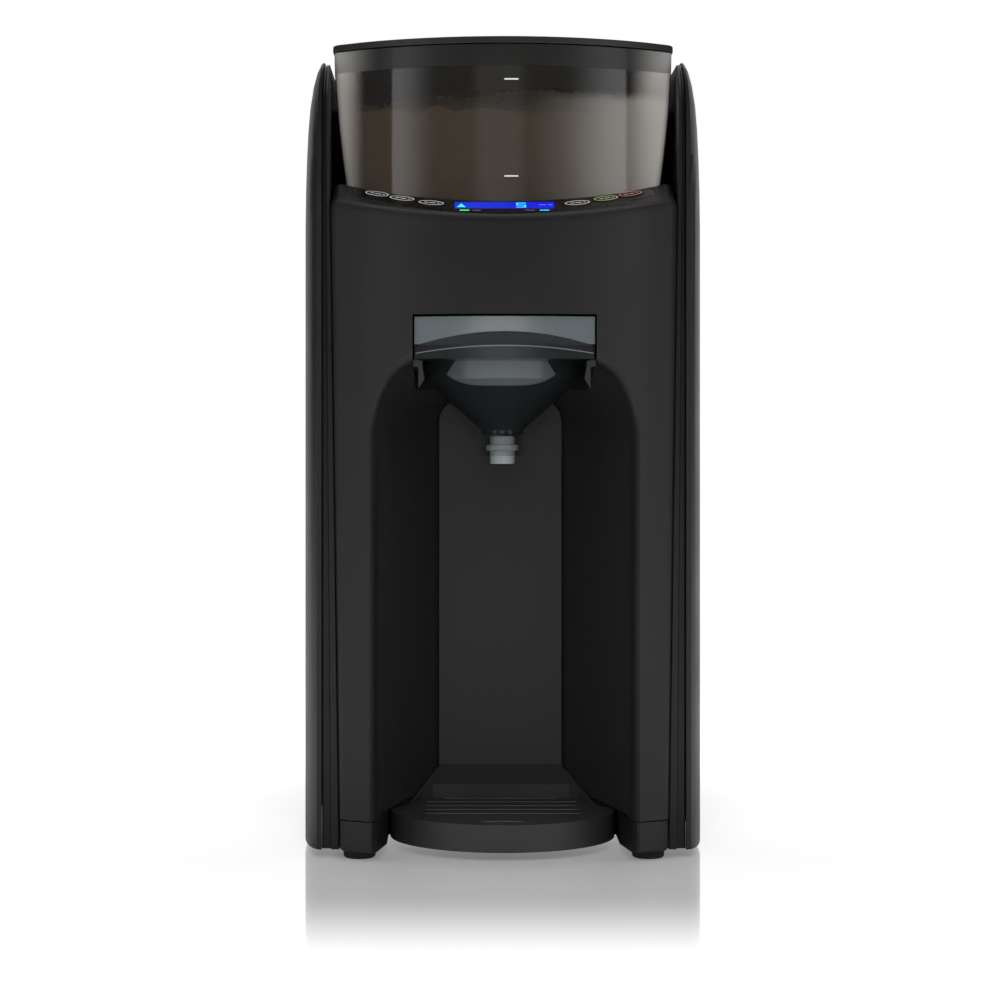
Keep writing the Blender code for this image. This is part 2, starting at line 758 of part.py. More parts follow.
def bay_cut_outline(grow):
    """The gap between the legs, wide enough for the tray to slide out."""
    half = TRAY_R + TRAY_BASE_CLEAR + grow
    mouth = BAY_HALF + grow
    front = FRONT_Y - OVERRUN
    right = [(mouth + BAY_EDGE, front), (mouth + BAY_EDGE, face_y(BAY_HALF + BAY_EDGE))]
    for step in range(1, 5):
        angle = math.pi / 2 * step / 4
        y = face_y(BAY_HALF) + BAY_EDGE * (1 - math.cos(angle))
        right.append((mouth + BAY_EDGE * (1 - math.sin(angle)), y))
    right += [(half, TRAY_Y - TRAY_R / 2), (half, TRAY_Y + TRAY_BASE_CLEAR)]
    right += tongue_side(TRAY_BASE_CLEAR + grow)
    right[-1] = (right[-1][0], BAY_BACK_Y + grow)
    return right + [(-x, y) for x, y in reversed(right)]


def foot(name, x, y):
    """A rubber foot with a flange on its plug."""
    low = FOOT_HEIGHT + FOOT_SEAT
    profile = [(0, 0), (FOOT_R - FOOT_ROUND, 0), (FOOT_R, FOOT_ROUND), (FOOT_R, low), (0, low)]
    return material(turned(name, profile, (x, y), 20), DARK, 0.8)


def back_panel():
    """The lighter flat panel that closes the bay, with its hook slots for the tray."""
    half = BAY_BACK_HALF - GAP
    corners = [(-half, SEAM_Z + GAP, 0), (half, SEAM_Z + GAP, 0)]
    corners += [(half, BAY_BACK_TOP - GAP, BAY_BACK_CORNER), (-half, BAY_BACK_TOP - GAP, BAY_BACK_CORNER)]
    body = prism("bay_back_panel", rounded(corners, 6), BAY_BACK_Y, BAY_BACK_Y + WALL, "Y")
    flange = box_outline(half + WALL, SEAM_Z + WALL, BAY_BACK_TOP + WALL, BAY_BACK_CORNER)
    join(body, prism("back_flange", flange, HOUSING_BACK_Y + GAP, HOUSING_BACK_Y + WALL, "Y"))
    join(body, prism("back_core", box_outline(half - WALL, SEAM_Z + WALL, BAY_BACK_TOP - WALL * 2),
                     BAY_BACK_Y + WALL / 2, HOUSING_BACK_Y + WALL / 2, "Y"))
    return material(smooth(body), LIGHT_BLACK)


def arm_front(z):
    """How far back the arms' front edge lies at a height: they round off towards the top."""
    rise = max(z - (ARM_TOP - ARM_ROUND), 0) / ARM_ROUND
    return COVER_FRONT_Y + ARM_ROUND * (1 - math.sqrt(max(1 - rise**2, 0)))


def shoulder_half(z):
    """Half the machine's width at a height: the covers draw in towards the arms' tops."""
    rise = min(max(z - SHOULDER_LOW, 0) / (ARM_TOP - SHOULDER_LOW), 1)
    power = SHOULDER_POWER_SHARE
    share = (1 - rise**power) ** (1 / power)
    return SHOULDER_TOP_HALF + (BODY_HALF - SHOULDER_TOP_HALF) * share


def cover_ring(z, side, inset=0.0):
    """A side cover's outline at a height, from its front edge round the flank to its rear edge."""
    front = arm_front(min(z, ARM_TOP)) + inset
    full = COVER_FULL_Y + (front - COVER_FRONT_Y - inset)
    half = shoulder_half(z) - inset
    inner = COVER_INNER if not inset else COVER_INNER - OVERRUN
    edge = COVER_INNER
    back_round = min(COVER_BACK_CORNER, ARM_ROUND)
    back = BACK_Y - inset - (arm_front(min(z, ARM_TOP)) - COVER_FRONT_Y)
    points = [(inner, front)]
    for step in range(1, 8):
        angle = math.pi / 2 * step / 7
        points.append((edge + (half - edge) * math.sin(angle),
                       front + (full - front) * (1 - math.cos(angle))))
    for step in range(7):
        angle = math.pi / 2 * step / 6
        x = half - (half - edge) * (1 - math.cos(angle))
        points.append((x, back - back_round * (1 - math.sin(angle))))
    points.append((inner, back))
    return [(side * x, y, z) for x, y in points]


def cover_levels(low, high):
    """Heights at which a cover or strip is drawn, closer together where the arms round off."""
    start = SHOULDER_LOW
    levels = [low, start]
    for step in range(1, 10):
        levels.append(start + (high - start) * math.sin(math.pi / 2 * step / 9))
    return levels


def side_cover(name, side):
    """An outer side cover, a shell that is open towards the machine."""
    body = loft(name, [cover_ring(z, side) for z in cover_levels(FOOT_HEIGHT, ARM_TOP)])
    levels = cover_levels(FOOT_HEIGHT - OVERRUN, ARM_TOP - WALL)
    hollow = loft(name + "_hollow", [cover_ring(z, side, WALL) for z in levels])
    cut(body, hollow)
    return material(smooth(body), BLACK)


def strip_ring(z, side):
    """The inner strip's outline at a height, with the lip that closes the groove beside it."""
    share = (z - FOOT_HEIGHT) / (DECK_Z - FOOT_HEIGHT)
    inner = panel_half(z) + GAP
    outer = STRIP_HALF_LOW + (STRIP_HALF_HIGH - STRIP_HALF_LOW) * share
    front = arm_front(z)
    lip = max(COVER_INNER - GAP, outer + GAP)
    lip_front = front + GROOVE_FLOOR + GAP
    points = [(inner, front + GAP), (outer, front + GAP), (outer, lip_front), (lip, lip_front)]
    points += [(lip, lip_front + GROOVE_LIP / 2), (outer, lip_front + GROOVE_LIP / 2)]
    back = STRIP_BACK_Y - (front - COVER_FRONT_Y)
    points += [(outer, back), (inner, back)]
    return [(side * x, y, z) for x, y in points]


def side_strip(name, side):
    """The inner wall of an arm, whose front edge shows as the strip beside the groove."""
    levels = [FOOT_HEIGHT, DECK_Z, *cover_levels(ARM_TOP - ARM_ROUND, ARM_TOP - WALL)[2:]]
    levels = sorted({round(z, 5) for z in levels if z <= ARM_TOP - WALL - GAP} | {ARM_TOP - WALL - GAP})
    return material(smooth(loft(name, [strip_ring(z, side) for z in levels])), BLACK, 0.4)


def rear_housing():
    """One bent moulding: top cover, bulkhead before the tank, shelf under the tank and rear wall."""
    low, top = SEAM_Z, TOP_COVER_Z
    front = BIN_BACK_Y + WELL_CLEAR + GAP * 2
    back = REAR_FACE_Y
    outer = [(front, top), (BULKHEAD_Y, top), (BULKHEAD_Y, SHELF_Z), (back, SHELF_Z), (back, low)]
    inner = [(back - WALL, low), (back - WALL, SHELF_Z - WALL), (BULKHEAD_Y - WALL, SHELF_Z - WALL)]
    inner += [(BULKHEAD_Y - WALL, top - WALL), (front + WALL, top - WALL), (front + WALL, SKIRT_LOW),
              (front, SKIRT_LOW)]
    rounds = [WALL, WALL, 0, WALL, 0, 0, 0, 0, 0, 0, 0, 0]
    corners = [(y, z, r) for (y, z), r in zip(outer + inner, rounds)]
    outline = rounded(corners)
    body = loft("rear_housing", [[(side * (panel_half(z) - GAP), y, z) for y,
                                  z in outline] for side in (-1, 1)])
    for row in range(VENT_COUNT):
        z = VENT_LOW + VENT_PITCH * row
        slot = [(-VENT_LONG / 2, z, VENT_WIDE * SLOT_ROUND_SHARE), (VENT_LONG / 2, z, VENT_WIDE * SLOT_ROUND_SHARE)]
        slot += [(VENT_LONG / 2, z + VENT_WIDE, VENT_WIDE * SLOT_ROUND_SHARE), (-VENT_LONG / 2, z + VENT_WIDE,
                                                                   VENT_WIDE * SLOT_ROUND_SHARE)]
        cut(body, prism(f"vent_{row}", rounded(slot, 2), back - WALL * 2, back + OVERRUN, "Y"))
    inlet = box_outline(INLET_HALF + GAP, INLET_Z - INLET_TALL / 2 - GAP, INLET_Z + INLET_TALL / 2 + GAP,
                        WALL, 2)
    inlet = [(x + INLET_X, z) for x, z in inlet]
    cut(body, prism("inlet_hole", inlet, back - WALL * 2, back + OVERRUN, "Y"))
    cut(body, disc("seat_hole", VALVE_X, VALVE_Y, SEAT_R + GAP, SHELF_Z - OVERRUN, SHELF_Z + OVERRUN))
    return material(smooth(body), BLACK)


def mid_outline(inset):
    corners = [(-FRAME_HALF + inset, FRAME_FRONT_Y + inset, WALL),
               (FRAME_HALF - inset, FRAME_FRONT_Y + inset, WALL)]
    corners += [(FRAME_HALF - inset, FRAME_BACK_Y - inset, WALL),
                (-FRAME_HALF + inset, FRAME_BACK_Y - inset, WALL)]
    return rounded(corners, 2)


def mid_frame():
    """The tray that carries the dosing drive: floor, rim, chute and two legs down to the base plate."""
    top = GEAR_COVER_LOW - GAP
    body = prism("mid_frame", mid_outline(0), FRAME_LOW, top)
    cut(body, prism("frame_hollow", mid_outline(WALL), FRAME_LOW + FRAME_THICK, top + OVERRUN))
    join(body, disc("chute_wall", 0, FUNNEL_Y, CHUTE_R + FRAME_THICK, FRAME_LOW + GAP, top))
    for side in (-1, 1):
        x = side * (FRAME_HALF - FRAME_LEG / 2 - GAP)
        leg = box_outline(FRAME_LEG / 2, FRAME_BACK_Y - GAP - FRAME_LEG, FRAME_BACK_Y - GAP)
        leg = [(x + a, b) for a, b in leg]
        join(body, prism(f"frame_leg_{side}", leg, FOOT_HEIGHT + WALL + GAP, FRAME_LOW + FRAME_THICK / 2))
    cut(body, disc("chute_bore", 0, FUNNEL_Y, CHUTE_R, FRAME_LOW - OVERRUN, top + OVERRUN))
    cut(body, disc("shaft_bore", 0, WHEEL_Y, SHAFT_R + SHAFT_CLEAR, FRAME_LOW - OVERRUN,
                   FRAME_LOW + OVERRUN))
    cut(body, disc("motor_bore", 0, PINION_Y, MOTOR_SHAFT_R * 2, FRAME_LOW - OVERRUN, FRAME_LOW + OVERRUN,
                   16))
    return material(smooth(body), DARK)


def gear_cover():
    """The plate that closes the gear space and carries the container."""
    low, high = GEAR_COVER_LOW, GEAR_COVER_LOW + GEAR_COVER_THICK
    body = prism("gear_cover", mid_outline(0), low, high)
    cut(body, disc("cover_chute", 0, FUNNEL_Y, CHUTE_R, low - OVERRUN, high + OVERRUN))
    cut(body, disc("cover_shaft", 0, WHEEL_Y, HEX_R + GAP, low - OVERRUN, high + OVERRUN))
    return material(smooth(body), DARK)


def involute_outline(teeth, turn=0.0):
    """A spur gear's outline with involute flanks, about the origin."""
    pressure = math.radians(20)
    pitch = GEAR_MODULE * teeth / 2
    base = pitch * math.cos(pressure)
    tip = pitch + GEAR_MODULE * ADDENDUM_SHARE
    root = pitch - GEAR_MODULE * DEDENDUM_SHARE
    half_tooth = math.pi / (2 * teeth) - GEAR_BACKLASH / (2 * pitch)
    at_pitch = math.tan(pressure) - pressure
    flank = []
    for step in range(3):
        radius = max(base, root) + (tip - max(base, root)) * step / 2
        lean = math.acos(min(base / radius, 1))
        flank.append((radius, half_tooth + at_pitch - (math.tan(lean) - lean)))
    points = []
    for tooth in range(teeth):
        middle = turn + math.tau * tooth / teeth
        section = [(root, -flank[0][1])] + [(r, -a) for r, a in flank]
        section += [(r, a) for r, a in reversed(flank)] + [(root, flank[0][1])]
        points += [(r * math.cos(middle + a), r * math.sin(middle + a)) for r, a in section]
    return points


def gear(name, teeth, x, y, turn, low, high):
    outline = [(x + a, y + b) for a, b in involute_outline(teeth, turn)]
    return prism(name, outline, low, high)


def drive_gear():
    """The large gear in one piece with its shaft, whose hexagon drives the dosing wheel."""
    high = GEAR_LOW + GEAR_THICK
    body = gear("drive_gear", GEAR_TEETH, 0, WHEEL_Y, math.pi / 2, GEAR_LOW, high)
    join(body, disc("gear_shaft", 0, WHEEL_Y, SHAFT_R, FRAME_LOW + GAP, GEAR_LOW + GEAR_THICK / 2))
    join(body, disc("gear_hexagon", 0, WHEEL_Y, HEX_R, GEAR_LOW + GEAR_THICK / 2, HEX_TOP, 6))
    return material(smooth(body), WHITE)


def pinion():
    """The small gear on the motor's shaft, half a tooth out of step so that it meshes."""
    turn = -math.pi / 2 + math.pi / PINION_TEETH
    body = gear("pinion", PINION_TEETH, 0, PINION_Y, turn, GEAR_LOW, GEAR_LOW + GEAR_THICK)
    join(body, disc("pinion_shaft", 0, PINION_Y, MOTOR_SHAFT_R, FRAME_LOW - GAP / 2, GEAR_LOW + GAP, 12))
    return material(smooth(body), WHITE)


def drive_motor():
    """The flat geared motor below the mid frame."""
    high = FRAME_LOW - GAP
    low = high - MOTOR_LENGTH
    r, step = MOTOR_R, WALL
    profile = [(0, low - step), (r / 3, low - step), (r / 3, low), (r - step / 2, low), (r, low + step / 2)]
    profile += [(r, high - step), (r + step / 2, high - step), (r + step / 2, high), (0, high)]
    return material(turned("drive_motor", profile, (0, PINION_Y), 28), STEEL, 0.35, 1.0)


def dosing_base():
    """The round dish under the container, with the outlet above the funnel."""
    floor = BASE_LOW + BASE_FLOOR
    top = BIN_LOW - GAP
    profile = [(HUB_R + WALL, BASE_LOW), (BASE_R, BASE_LOW), (BASE_R, top), (BASE_R - BASE_FLOOR, top)]
    profile += [(BASE_R - BASE_FLOOR, floor), (HUB_R + WALL, floor)]
    body = turned("dosing_base", profile, (0, WHEEL_Y), 48)
    cut(body, disc("outlet", 0, FUNNEL_Y, CHUTE_R - GAP, BASE_LOW - OVERRUN, floor + OVERRUN))
    return material(smooth(body), GREY)


def dosing_wheel():
    """The wheel whose pockets carry powder to the outlet, with stirring arms above it."""
    low = BASE_LOW + BASE_FLOOR + GAP
    high = low + WHEEL_THICK
    top = high + STIR_TALL
    profile = [(0, low), (WHEEL_R, low), (WHEEL_R, high), (HUB_R + WALL, high), (HUB_R, high + WALL)]
    profile += [(HUB_R - WALL, top), (0, top)]
    body = turned("dosing_wheel", profile, (0, WHEEL_Y), 48)
    reach = WHEEL_R - WALL * 2
    for arm in range(ARM_COUNT):
        angle = math.tau * (arm + 0.5) / ARM_COUNT
        outline = []
        for a, b in ((HUB_R - WALL * 2, -1), (reach, -1), (reach, 1), (HUB_R - WALL * 2, 1)):
            b *= STIR_THICK / 2
            outline.append((a * math.cos(angle) - b * math.sin(angle),
                            WHEEL_Y + a * math.sin(angle) + b * math.cos(angle)))
        join(body, prism(f"arm_{arm}", outline, high - WALL, top - WALL * 2))
    for slot in range(POCKET_COUNT):
        angle = math.tau * slot / POCKET_COUNT - math.pi / 2
        r = WHEEL_Y - FUNNEL_Y
        place = (r * math.cos(angle), WHEEL_Y + r * math.sin(angle))
        cut(body, disc(f"pocket_{slot}", *place, DOSE_R, low - OVERRUN, top + OVERRUN, 14))
    cut(body, disc("hexagon_socket", 0, WHEEL_Y, HEX_R + HEX_CLEAR, low - OVERRUN, HEX_TOP + GAP, 6))
    return material(smooth(body), WHITE)


def powder_container():
    """The smoked container: drawn-in sides, thick rim, and a floor that opens over the dosing wheel."""
    levels = bin_levels()
    outer = [bin_ring(BIN_LOW, -BIN_FLOOR)] + [bin_ring(z) for z in levels]
    floor = BIN_LOW + BIN_FLOOR
    inner = [bin_ring(z, -BIN_WALL) for z in reversed(levels[1:])]
    inner.append([(x, y, floor) for x, y, z in bin_ring(floor, -BIN_WALL * 2)])
    body = loft("powder_container", outer + inner)
    cut(body, disc("bin_mouth", 0, WHEEL_Y, WHEEL_R + GAP * 2, BIN_LOW - OVERRUN, floor + OVERRUN, 48))
    return material(smooth(body), SMOKE, 0.1)


def powder_lid():
    """The container's lid: a thin rim with a low crown and a skirt inside the container."""
    rim_low = BIN_HIGH + GAP
    rim_high = rim_low + LID_THICK
    skirt_out = -BIN_WALL - LID_CLEAR
    skirt_in = skirt_out - LID_SKIRT_WALL
    section = [(skirt_in, rim_low + GAP), (skirt_in, rim_low - LID_SKIRT), (skirt_out, rim_low - LID_SKIRT)]
    section += [(skirt_out, rim_low), (LID_LIP, rim_low), (LID_LIP, rim_high - LID_EDGE)]
    section += [(LID_LIP - LID_EDGE, rim_high), (-LID_CROWN_IN, rim_high + LID_CROWN)]
    rings = [[(x, y, z) for x, y in bin_outline(BIN_HIGH, grow)] for grow, z in section]
    return material(loft("powder_lid", rings), BLACK, 0.4)


def lid_seal():
    """The soft ring round the lid's skirt."""
    out, inside = -BIN_WALL - SEAL_CLEAR * 2, -BIN_WALL - LID_CLEAR + SEAL_CLEAR
    outer = [[(x, y, z) for x, y in bin_outline(SEAL_Z, out)] for z in (SEAL_Z, SEAL_Z + SEAL_TALL)]
    inner = [[(x, y, z) for x, y in bin_outline(BIN_HIGH, inside)] for z in (SEAL_Z + SEAL_TALL * 2,
                                                                             SEAL_Z - SEAL_TALL)]
    body = loft("lid_seal", outer)
    cut(body, loft("seal_bore", inner))
    return material(smooth(body), GREY, 0.7)


def funnel_outline(inset, setback):
    """The funnel's outline in plan: bowed in front like the face, round behind."""
    half = FLANGE_HALF - inset
    points = []
    for step in range(9):
        x = half * (2 * step / 8 - 1)
        points.append((x, face_y(x) + setback))
    for step in range(13):
        angle = math.pi * step / 12
        points.append((half * math.cos(angle), FUNNEL_Y + half * math.sin(angle)))
    return points


def funnel():
    """The funnel: a thick band that runs on the rails, a bowl, a cone and a neck."""
    w = FUNNEL_WALL
    profile = [(NECK_R - w, NECK_LOW), (NECK_R, NECK_LOW), (NECK_R, CONE_LOW), (CONE_R, CONE_HIGH)]
    profile += [(BOWL_R, FLANGE_Z - GAP), (BOWL_R, FLANGE_TOP - w), (BOWL_R - w, FLANGE_TOP - w)]
    profile += [(BOWL_R - w, FLANGE_Z), (CONE_R - w, CONE_HIGH + w / 2), (NECK_R - w, CONE_LOW + w / 2)]
    body = turned("funnel", profile, (0, FUNNEL_Y), 40)
    band = prism("funnel_band", funnel_outline(0, FUNNEL_SETBACK), FLANGE_Z, FLANGE_TOP)
    cut(band, disc("band_bore", 0, FUNNEL_Y, BOWL_R - w / 2, FLANGE_Z - OVERRUN, FLANGE_TOP + OVERRUN, 40))
    join(body, band)
    return material(smooth(body), BLUE_BLACK, 0.2)


def funnel_cover():
    """The funnel's cover: a low cap with the pale front that shows in the window."""
    low, high, w = FLANGE_TOP + GAP, COVER_HIGH, FUNNEL_WALL
    body = prism("funnel_cover", funnel_outline(0, COVER_SETBACK), low, high)
    cut(body, prism("cover_hollow", funnel_outline(w, COVER_SETBACK + w), low - OVERRUN, high - w))
    cut(body, disc("cover_inlet", 0, FUNNEL_Y, CHUTE_R, high - OVERRUN, high + OVERRUN))
    arch = [(-ARCH_HALF, low - OVERRUN), (ARCH_HALF, low - OVERRUN)]
    for step in range(9):
        share = 1 - 2 * step / 8
        arch.append((ARCH_HALF * share, low + ARCH_RISE * (1 - share**2)))
    cut(body, prism("cover_arch", arch, FRONT_Y - OVERRUN, FRONT_Y + OVERRUN * 3 / 2, "Y"))
    cut(body, rod("cover_spray", SPRAY_Y, SPRAY_Z, SPRAY_R, FLANGE_HALF - OVERRUN, FLANGE_HALF + OVERRUN))
    return material(smooth(body), GREY, 0.2)


def funnel_nozzle():
    """The soft spout inside the funnel's neck."""
    bore = NOZZLE_R - WALL / 2
    grip = NECK_R - FUNNEL_WALL - GAP
    low, high = NOZZLE_LOW, NOZZLE_HIGH
    profile = [(bore, low), (NOZZLE_R, low), (NOZZLE_R, NECK_LOW + WALL), (grip, NECK_LOW + WALL)]
    profile += [(grip, NECK_LOW + WALL * 2), (NOZZLE_R, NECK_LOW + WALL * 2), (NOZZLE_R, high - WALL / 2)]
    profile += [(NOZZLE_R - WALL / 3, high), (bore, high)]
    return material(turned("funnel_nozzle", profile, (0, FUNNEL_Y), 24), GREY, 0.5)


def funnel_rail(name, side):
    """A rail that carries the funnel's band, with a hooked front end."""
    outer = POCKET_HALF - GAP
    inner = outer - RAIL_WIDE
    high = FLANGE_Z - GAP
    front = face_y(outer) + FUNNEL_SETBACK
    profile = [(front, high), (front, high - HOOK_TALL * HOOK_BEND_SHARE), (front + HOOK_DEEP, high - HOOK_TALL)]
    profile += [(front + HOOK_DEEP, high - RAIL_TALL), (FUNNEL_Y, high - RAIL_TALL), (FUNNEL_Y, high)]
    body = prism(name, profile, min(side * inner, side * outer), max(side * inner, side * outer), "X")
    return material(body, GREY, 0.4)


def tray_profile(front):
    """The tray's top line seen from the side: level in front, rising along the tongue."""
    back = BAY_BACK_Y - GAP
    points = [(front, TRAY_TOP)]
    for step in range(9):
        share = step / 8
        y = TRAY_TONGUE_Y + (back - TRAY_TONGUE_Y) * share
        points.append((y, TRAY_TOP + (TRAY_TONGUE_TOP - TRAY_TOP) * share**TONGUE_BEND_SHARE))
    return points


def bottle_tray():
    """The tray under the bottle: a round dish with a tongue that hooks to the bay's back panel."""
    low = FOOT_HEIGHT
    body = prism("bottle_tray", tray_outline(0), low, TRAY_TONGUE_TOP + OVERRUN)
    front = FRONT_Y - OVERRUN
    over = tray_profile(front) + [(BAY_BACK_Y + OVERRUN, TRAY_TONGUE_TOP)]
    over += [(BAY_BACK_Y + OVERRUN, TRAY_TONGUE_TOP + OVERRUN * 2), (front, TRAY_TONGUE_TOP + OVERRUN * 2)]
    cut(body, prism("tray_over", over, -BODY_HALF, BODY_HALF, "X"))
    seat = TRAY_TOP - GRILLE_THICK - GAP
    cut(body, prism("grille_seat", grille_outline(TRAY_RIM), seat, TRAY_TOP + OVERRUN * 3))
    cut(body, prism("drip_dish", grille_outline(TRAY_RIM * 3), low + WALL, TRAY_TOP))
    return material(smooth(body), BLACK, 0.4)


def grille_outline(inset):
    points = []
    radius = TRAY_R - inset
    reach = GRILLE_BACK_Y - TRAY_Y - inset
    edge = math.asin(reach / radius)
    for step in range(33):
        angle = edge - (math.pi + 2 * edge) * step / 32
        x, y = radius * math.cos(angle), TRAY_Y + radius * math.sin(angle)
        x = math.copysign(min(abs(x), bay_half(y) - TRAY_SIDE_CLEAR - inset), x)
        points.append((x, y))
    return points


def drip_grille():
    """The tray's slotted top plate, which lifts off."""
    low, high = TRAY_TOP - GRILLE_THICK, TRAY_TOP - GAP
    body = prism("drip_grille", grille_outline(TRAY_RIM + GAP), low, high)
    for row in range(SLOT_ROWS):
        y = SLOT_FRONT_Y + SLOT_PITCH * (row + (row > 0))
        across = math.sqrt((TRAY_R - TRAY_RIM * 3) ** 2 - (abs(y - TRAY_Y) + SLOT_WIDE) ** 2) - WALL
        long = min((SLOT_LONG if row else SLOT_SHORT) / 2, across)
        slot = [(-long, y, SLOT_WIDE * SLOT_ROUND_SHARE), (long, y, SLOT_WIDE * SLOT_ROUND_SHARE)]
        slot += [(long, y + SLOT_WIDE, SLOT_WIDE * SLOT_ROUND_SHARE), (-long, y + SLOT_WIDE, SLOT_WIDE * SLOT_ROUND_SHARE)]
        cut(body, prism(f"slot_{row}", rounded(slot, 2), low - OVERRUN, high + OVERRUN))
    return material(smooth(body), BLACK, 0.4)


def tank_ring(z, inset, low_extra=0.0):
    half = panel_half(z) - TANK_CLEAR - inset - low_extra
    corner = TANK_CORNER - inset
    front, back = TANK_FRONT_Y + inset + low_extra, TANK_BACK_Y - inset - low_extra
    corners = [(-half, front, corner / 3), (half, front, corner / 3), (half, back, corner),
               (-half, back, corner)]
    return [(x, y, z) for x, y in rounded(corners)]


def water_tank():
    """The water tank: a smoked shell, open on top, with a valve hole and two hinge ears."""
    levels = [TANK_LOW + TANK_WALL, SHELF_Z + BIN_HIGH / 3, TANK_HIGH]
    outer = [tank_ring(TANK_LOW, 0, TANK_WALL / 2)] + [tank_ring(z, 0) for z in levels]
    inner = [tank_ring(z, TANK_WALL) for z in (TANK_HIGH, TANK_LOW + TANK_WALL)]
    body = loft("water_tank", outer + inner)
    for side in (-1, 1):
        profile = [(TANK_BACK_Y - TANK_WALL / 2, TANK_HIGH - HINGE_R * 3),
                   (TANK_BACK_Y - TANK_WALL / 2, HINGE_Z)]
        for step in range(7):
            angle = math.pi * step / 6
            profile.append((HINGE_Y + HINGE_R * math.cos(angle), HINGE_Z + HINGE_R * math.sin(angle)))
        profile.append((HINGE_Y - HINGE_R, TANK_HIGH - HINGE_R))
        low, high = sorted((side * EAR_X, side * (EAR_X + EAR_THICK)))
        join(body, prism(f"ear_{side}", profile[:1] + profile[2:], low, high, "X"))
    cut(body, rod("ear_bore", HINGE_Y, HINGE_Z, HINGE_PIN_R + GAP / 2, -BODY_HALF, BODY_HALF))
    cut(body, disc("valve_hole", VALVE_X, VALVE_Y, VALVE_R / 2 + GAP, TANK_LOW - OVERRUN,
                   TANK_LOW + OVERRUN))
    return material(smooth(body), SMOKE, 0.1)


def tank_lid():
    """The tank's lid with the knuckle that turns on the hinge pin."""
    low, high = TANK_HIGH + GAP, TANK_HIGH + TANK_LID_THICK
    front, back = TANK_FRONT_Y, HINGE_Y - HINGE_R - GAP * 3
    half = panel_half(TANK_HIGH) - TANK_CLEAR
    corners = [(-half, front, TANK_CORNER / 3), (half, front, TANK_CORNER / 3), (half, back, WALL),
               (-half, back, WALL)]
    rings = [(0, low), (0, high - WALL / 2), (WALL / 2, high)]
    body = loft("tank_lid", [[(x * (1 - i / half), y + (i if y < VALVE_Y else -i), z) for x,
                              y in rounded(corners)]
                             for i, z in rings])
    knuckle = EAR_X - GAP
    join(body, rod("knuckle", HINGE_Y, HINGE_Z, HINGE_R - GAP, -knuckle, knuckle, 20))
    web = [(back - WALL, low + GAP), (HINGE_Y, HINGE_Z - HINGE_R / 2), (HINGE_Y, HINGE_Z + HINGE_R / 2),
           (back - WALL, high - GAP)]
    join(body, prism("knuckle_web", web, -knuckle + GAP, knuckle - GAP, "X"))
    cut(body, rod("knuckle_bore", HINGE_Y, HINGE_Z, HINGE_PIN_R + GAP / 2, -BODY_HALF, BODY_HALF))
    return material(smooth(body), BLACK, 0.4)


def hinge_pin():
    reach = EAR_X + EAR_THICK
    return material(rod("hinge_pin", HINGE_Y, HINGE_Z, HINGE_PIN_R, -reach, reach), STEEL, 0.3, 1.0)


def tank_valve():
    """The valve's plunger: a head over the hole in the tank's floor and a stem through it."""
    floor = TANK_LOW + TANK_WALL
    stem = VALVE_R / 2 - GAP
    profile = [(0, TANK_LOW - GAP / 3), (stem, TANK_LOW - GAP / 3), (stem, floor + GAP),
               (VALVE_R, floor + GAP)]
    profile += [(VALVE_R, floor + WALL), (stem, floor + WALL * 2), (0, floor + WALL * 2)]
    return material(turned("tank_valve", profile, (VALVE_X, VALVE_Y), 24), WHITE)


def valve_seat():
    """The socket in the shelf that the tank's valve stands over, with a spigot for the hose."""
    bore = VALVE_R / 3
    spigot = bore + FUNNEL_WALL
    under = SHELF_Z - WALL - GAP
    profile = [(bore, SPIGOT_LOW), (spigot, SPIGOT_LOW), (spigot, under - WALL),
               (SEAT_R + WALL, under - WALL)]
    profile += [(SEAT_R + WALL, under), (SEAT_R, under), (SEAT_R, SHELF_Z), (bore, SHELF_Z)]
    return material(turned("valve_seat", profile, (VALVE_X, VALVE_Y), 24), DARK)


def mains_inlet():
    """The two-pin inlet in the rear wall, with its pins."""
    back = REAR_FACE_Y
    low, high = INLET_Z - INLET_TALL / 2, INLET_Z + INLET_TALL / 2
    outline = [(x + INLET_X, z) for x, z in box_outline(INLET_HALF, low, high, WALL, 2)]
    body = prism("mains_inlet", outline, back - INLET_DEEP, back - GAP, "Y")
    inside = [(x + INLET_X, z) for x, z in box_outline(INLET_HALF - WALL, low + WALL, high - WALL, WALL, 2)]
    cut(body, prism("inlet_recess", inside, back - INLET_DEEP + WALL, back + OVERRUN, "Y"))
    for side in (-1, 1):
        x = INLET_X + side * INLET_HALF / 3
        pin = [(x + PIN_R * math.cos(math.tau * s / 10),
                INLET_Z + PIN_R * math.sin(math.tau * s / 10)) for s in range(10)]
        join(body, prism(f"inlet_pin_{side}", pin, back - INLET_DEEP + GAP, back - WALL, "Y"))
    return material(smooth(body), DARK)


def water_heater():
    """The heater's steel vessel on its flanged foot, with an outlet nipple on top."""
    floor = FOOT_HEIGHT + WALL + GAP
    r, top = HEATER_R, HEATER_TOP
    profile = [(0, floor), (r + WALL, floor), (r + WALL, floor + WALL), (r, floor + WALL),
               (r, top - WALL * 2)]
    profile += [(r - WALL, top - WALL / 2), (HOSE_R, top), (HOSE_R, top + NIPPLE_TALL),
                (0, top + NIPPLE_TALL)]
    return material(turned("water_heater", profile, (HEATER_X, HEATER_Y), 28), STEEL, 0.3, 1.0)


def water_pump():
    """The pump on its rubber foot, with a nipple on top."""
    floor = FOOT_HEIGHT + WALL + GAP
    r, top = PUMP_R, PUMP_TOP
    profile = [(0, floor), (r - WALL, floor), (r - WALL, floor + WALL * 2), (r, floor + WALL * 2),
               (r, top - WALL)]
    profile += [(r - WALL, top), (HOSE_R, top), (HOSE_R, top + NIPPLE_TALL), (0, top + NIPPLE_TALL)]
    return material(turned("water_pump", profile, (PUMP_X, PUMP_Y), 24), DARK)


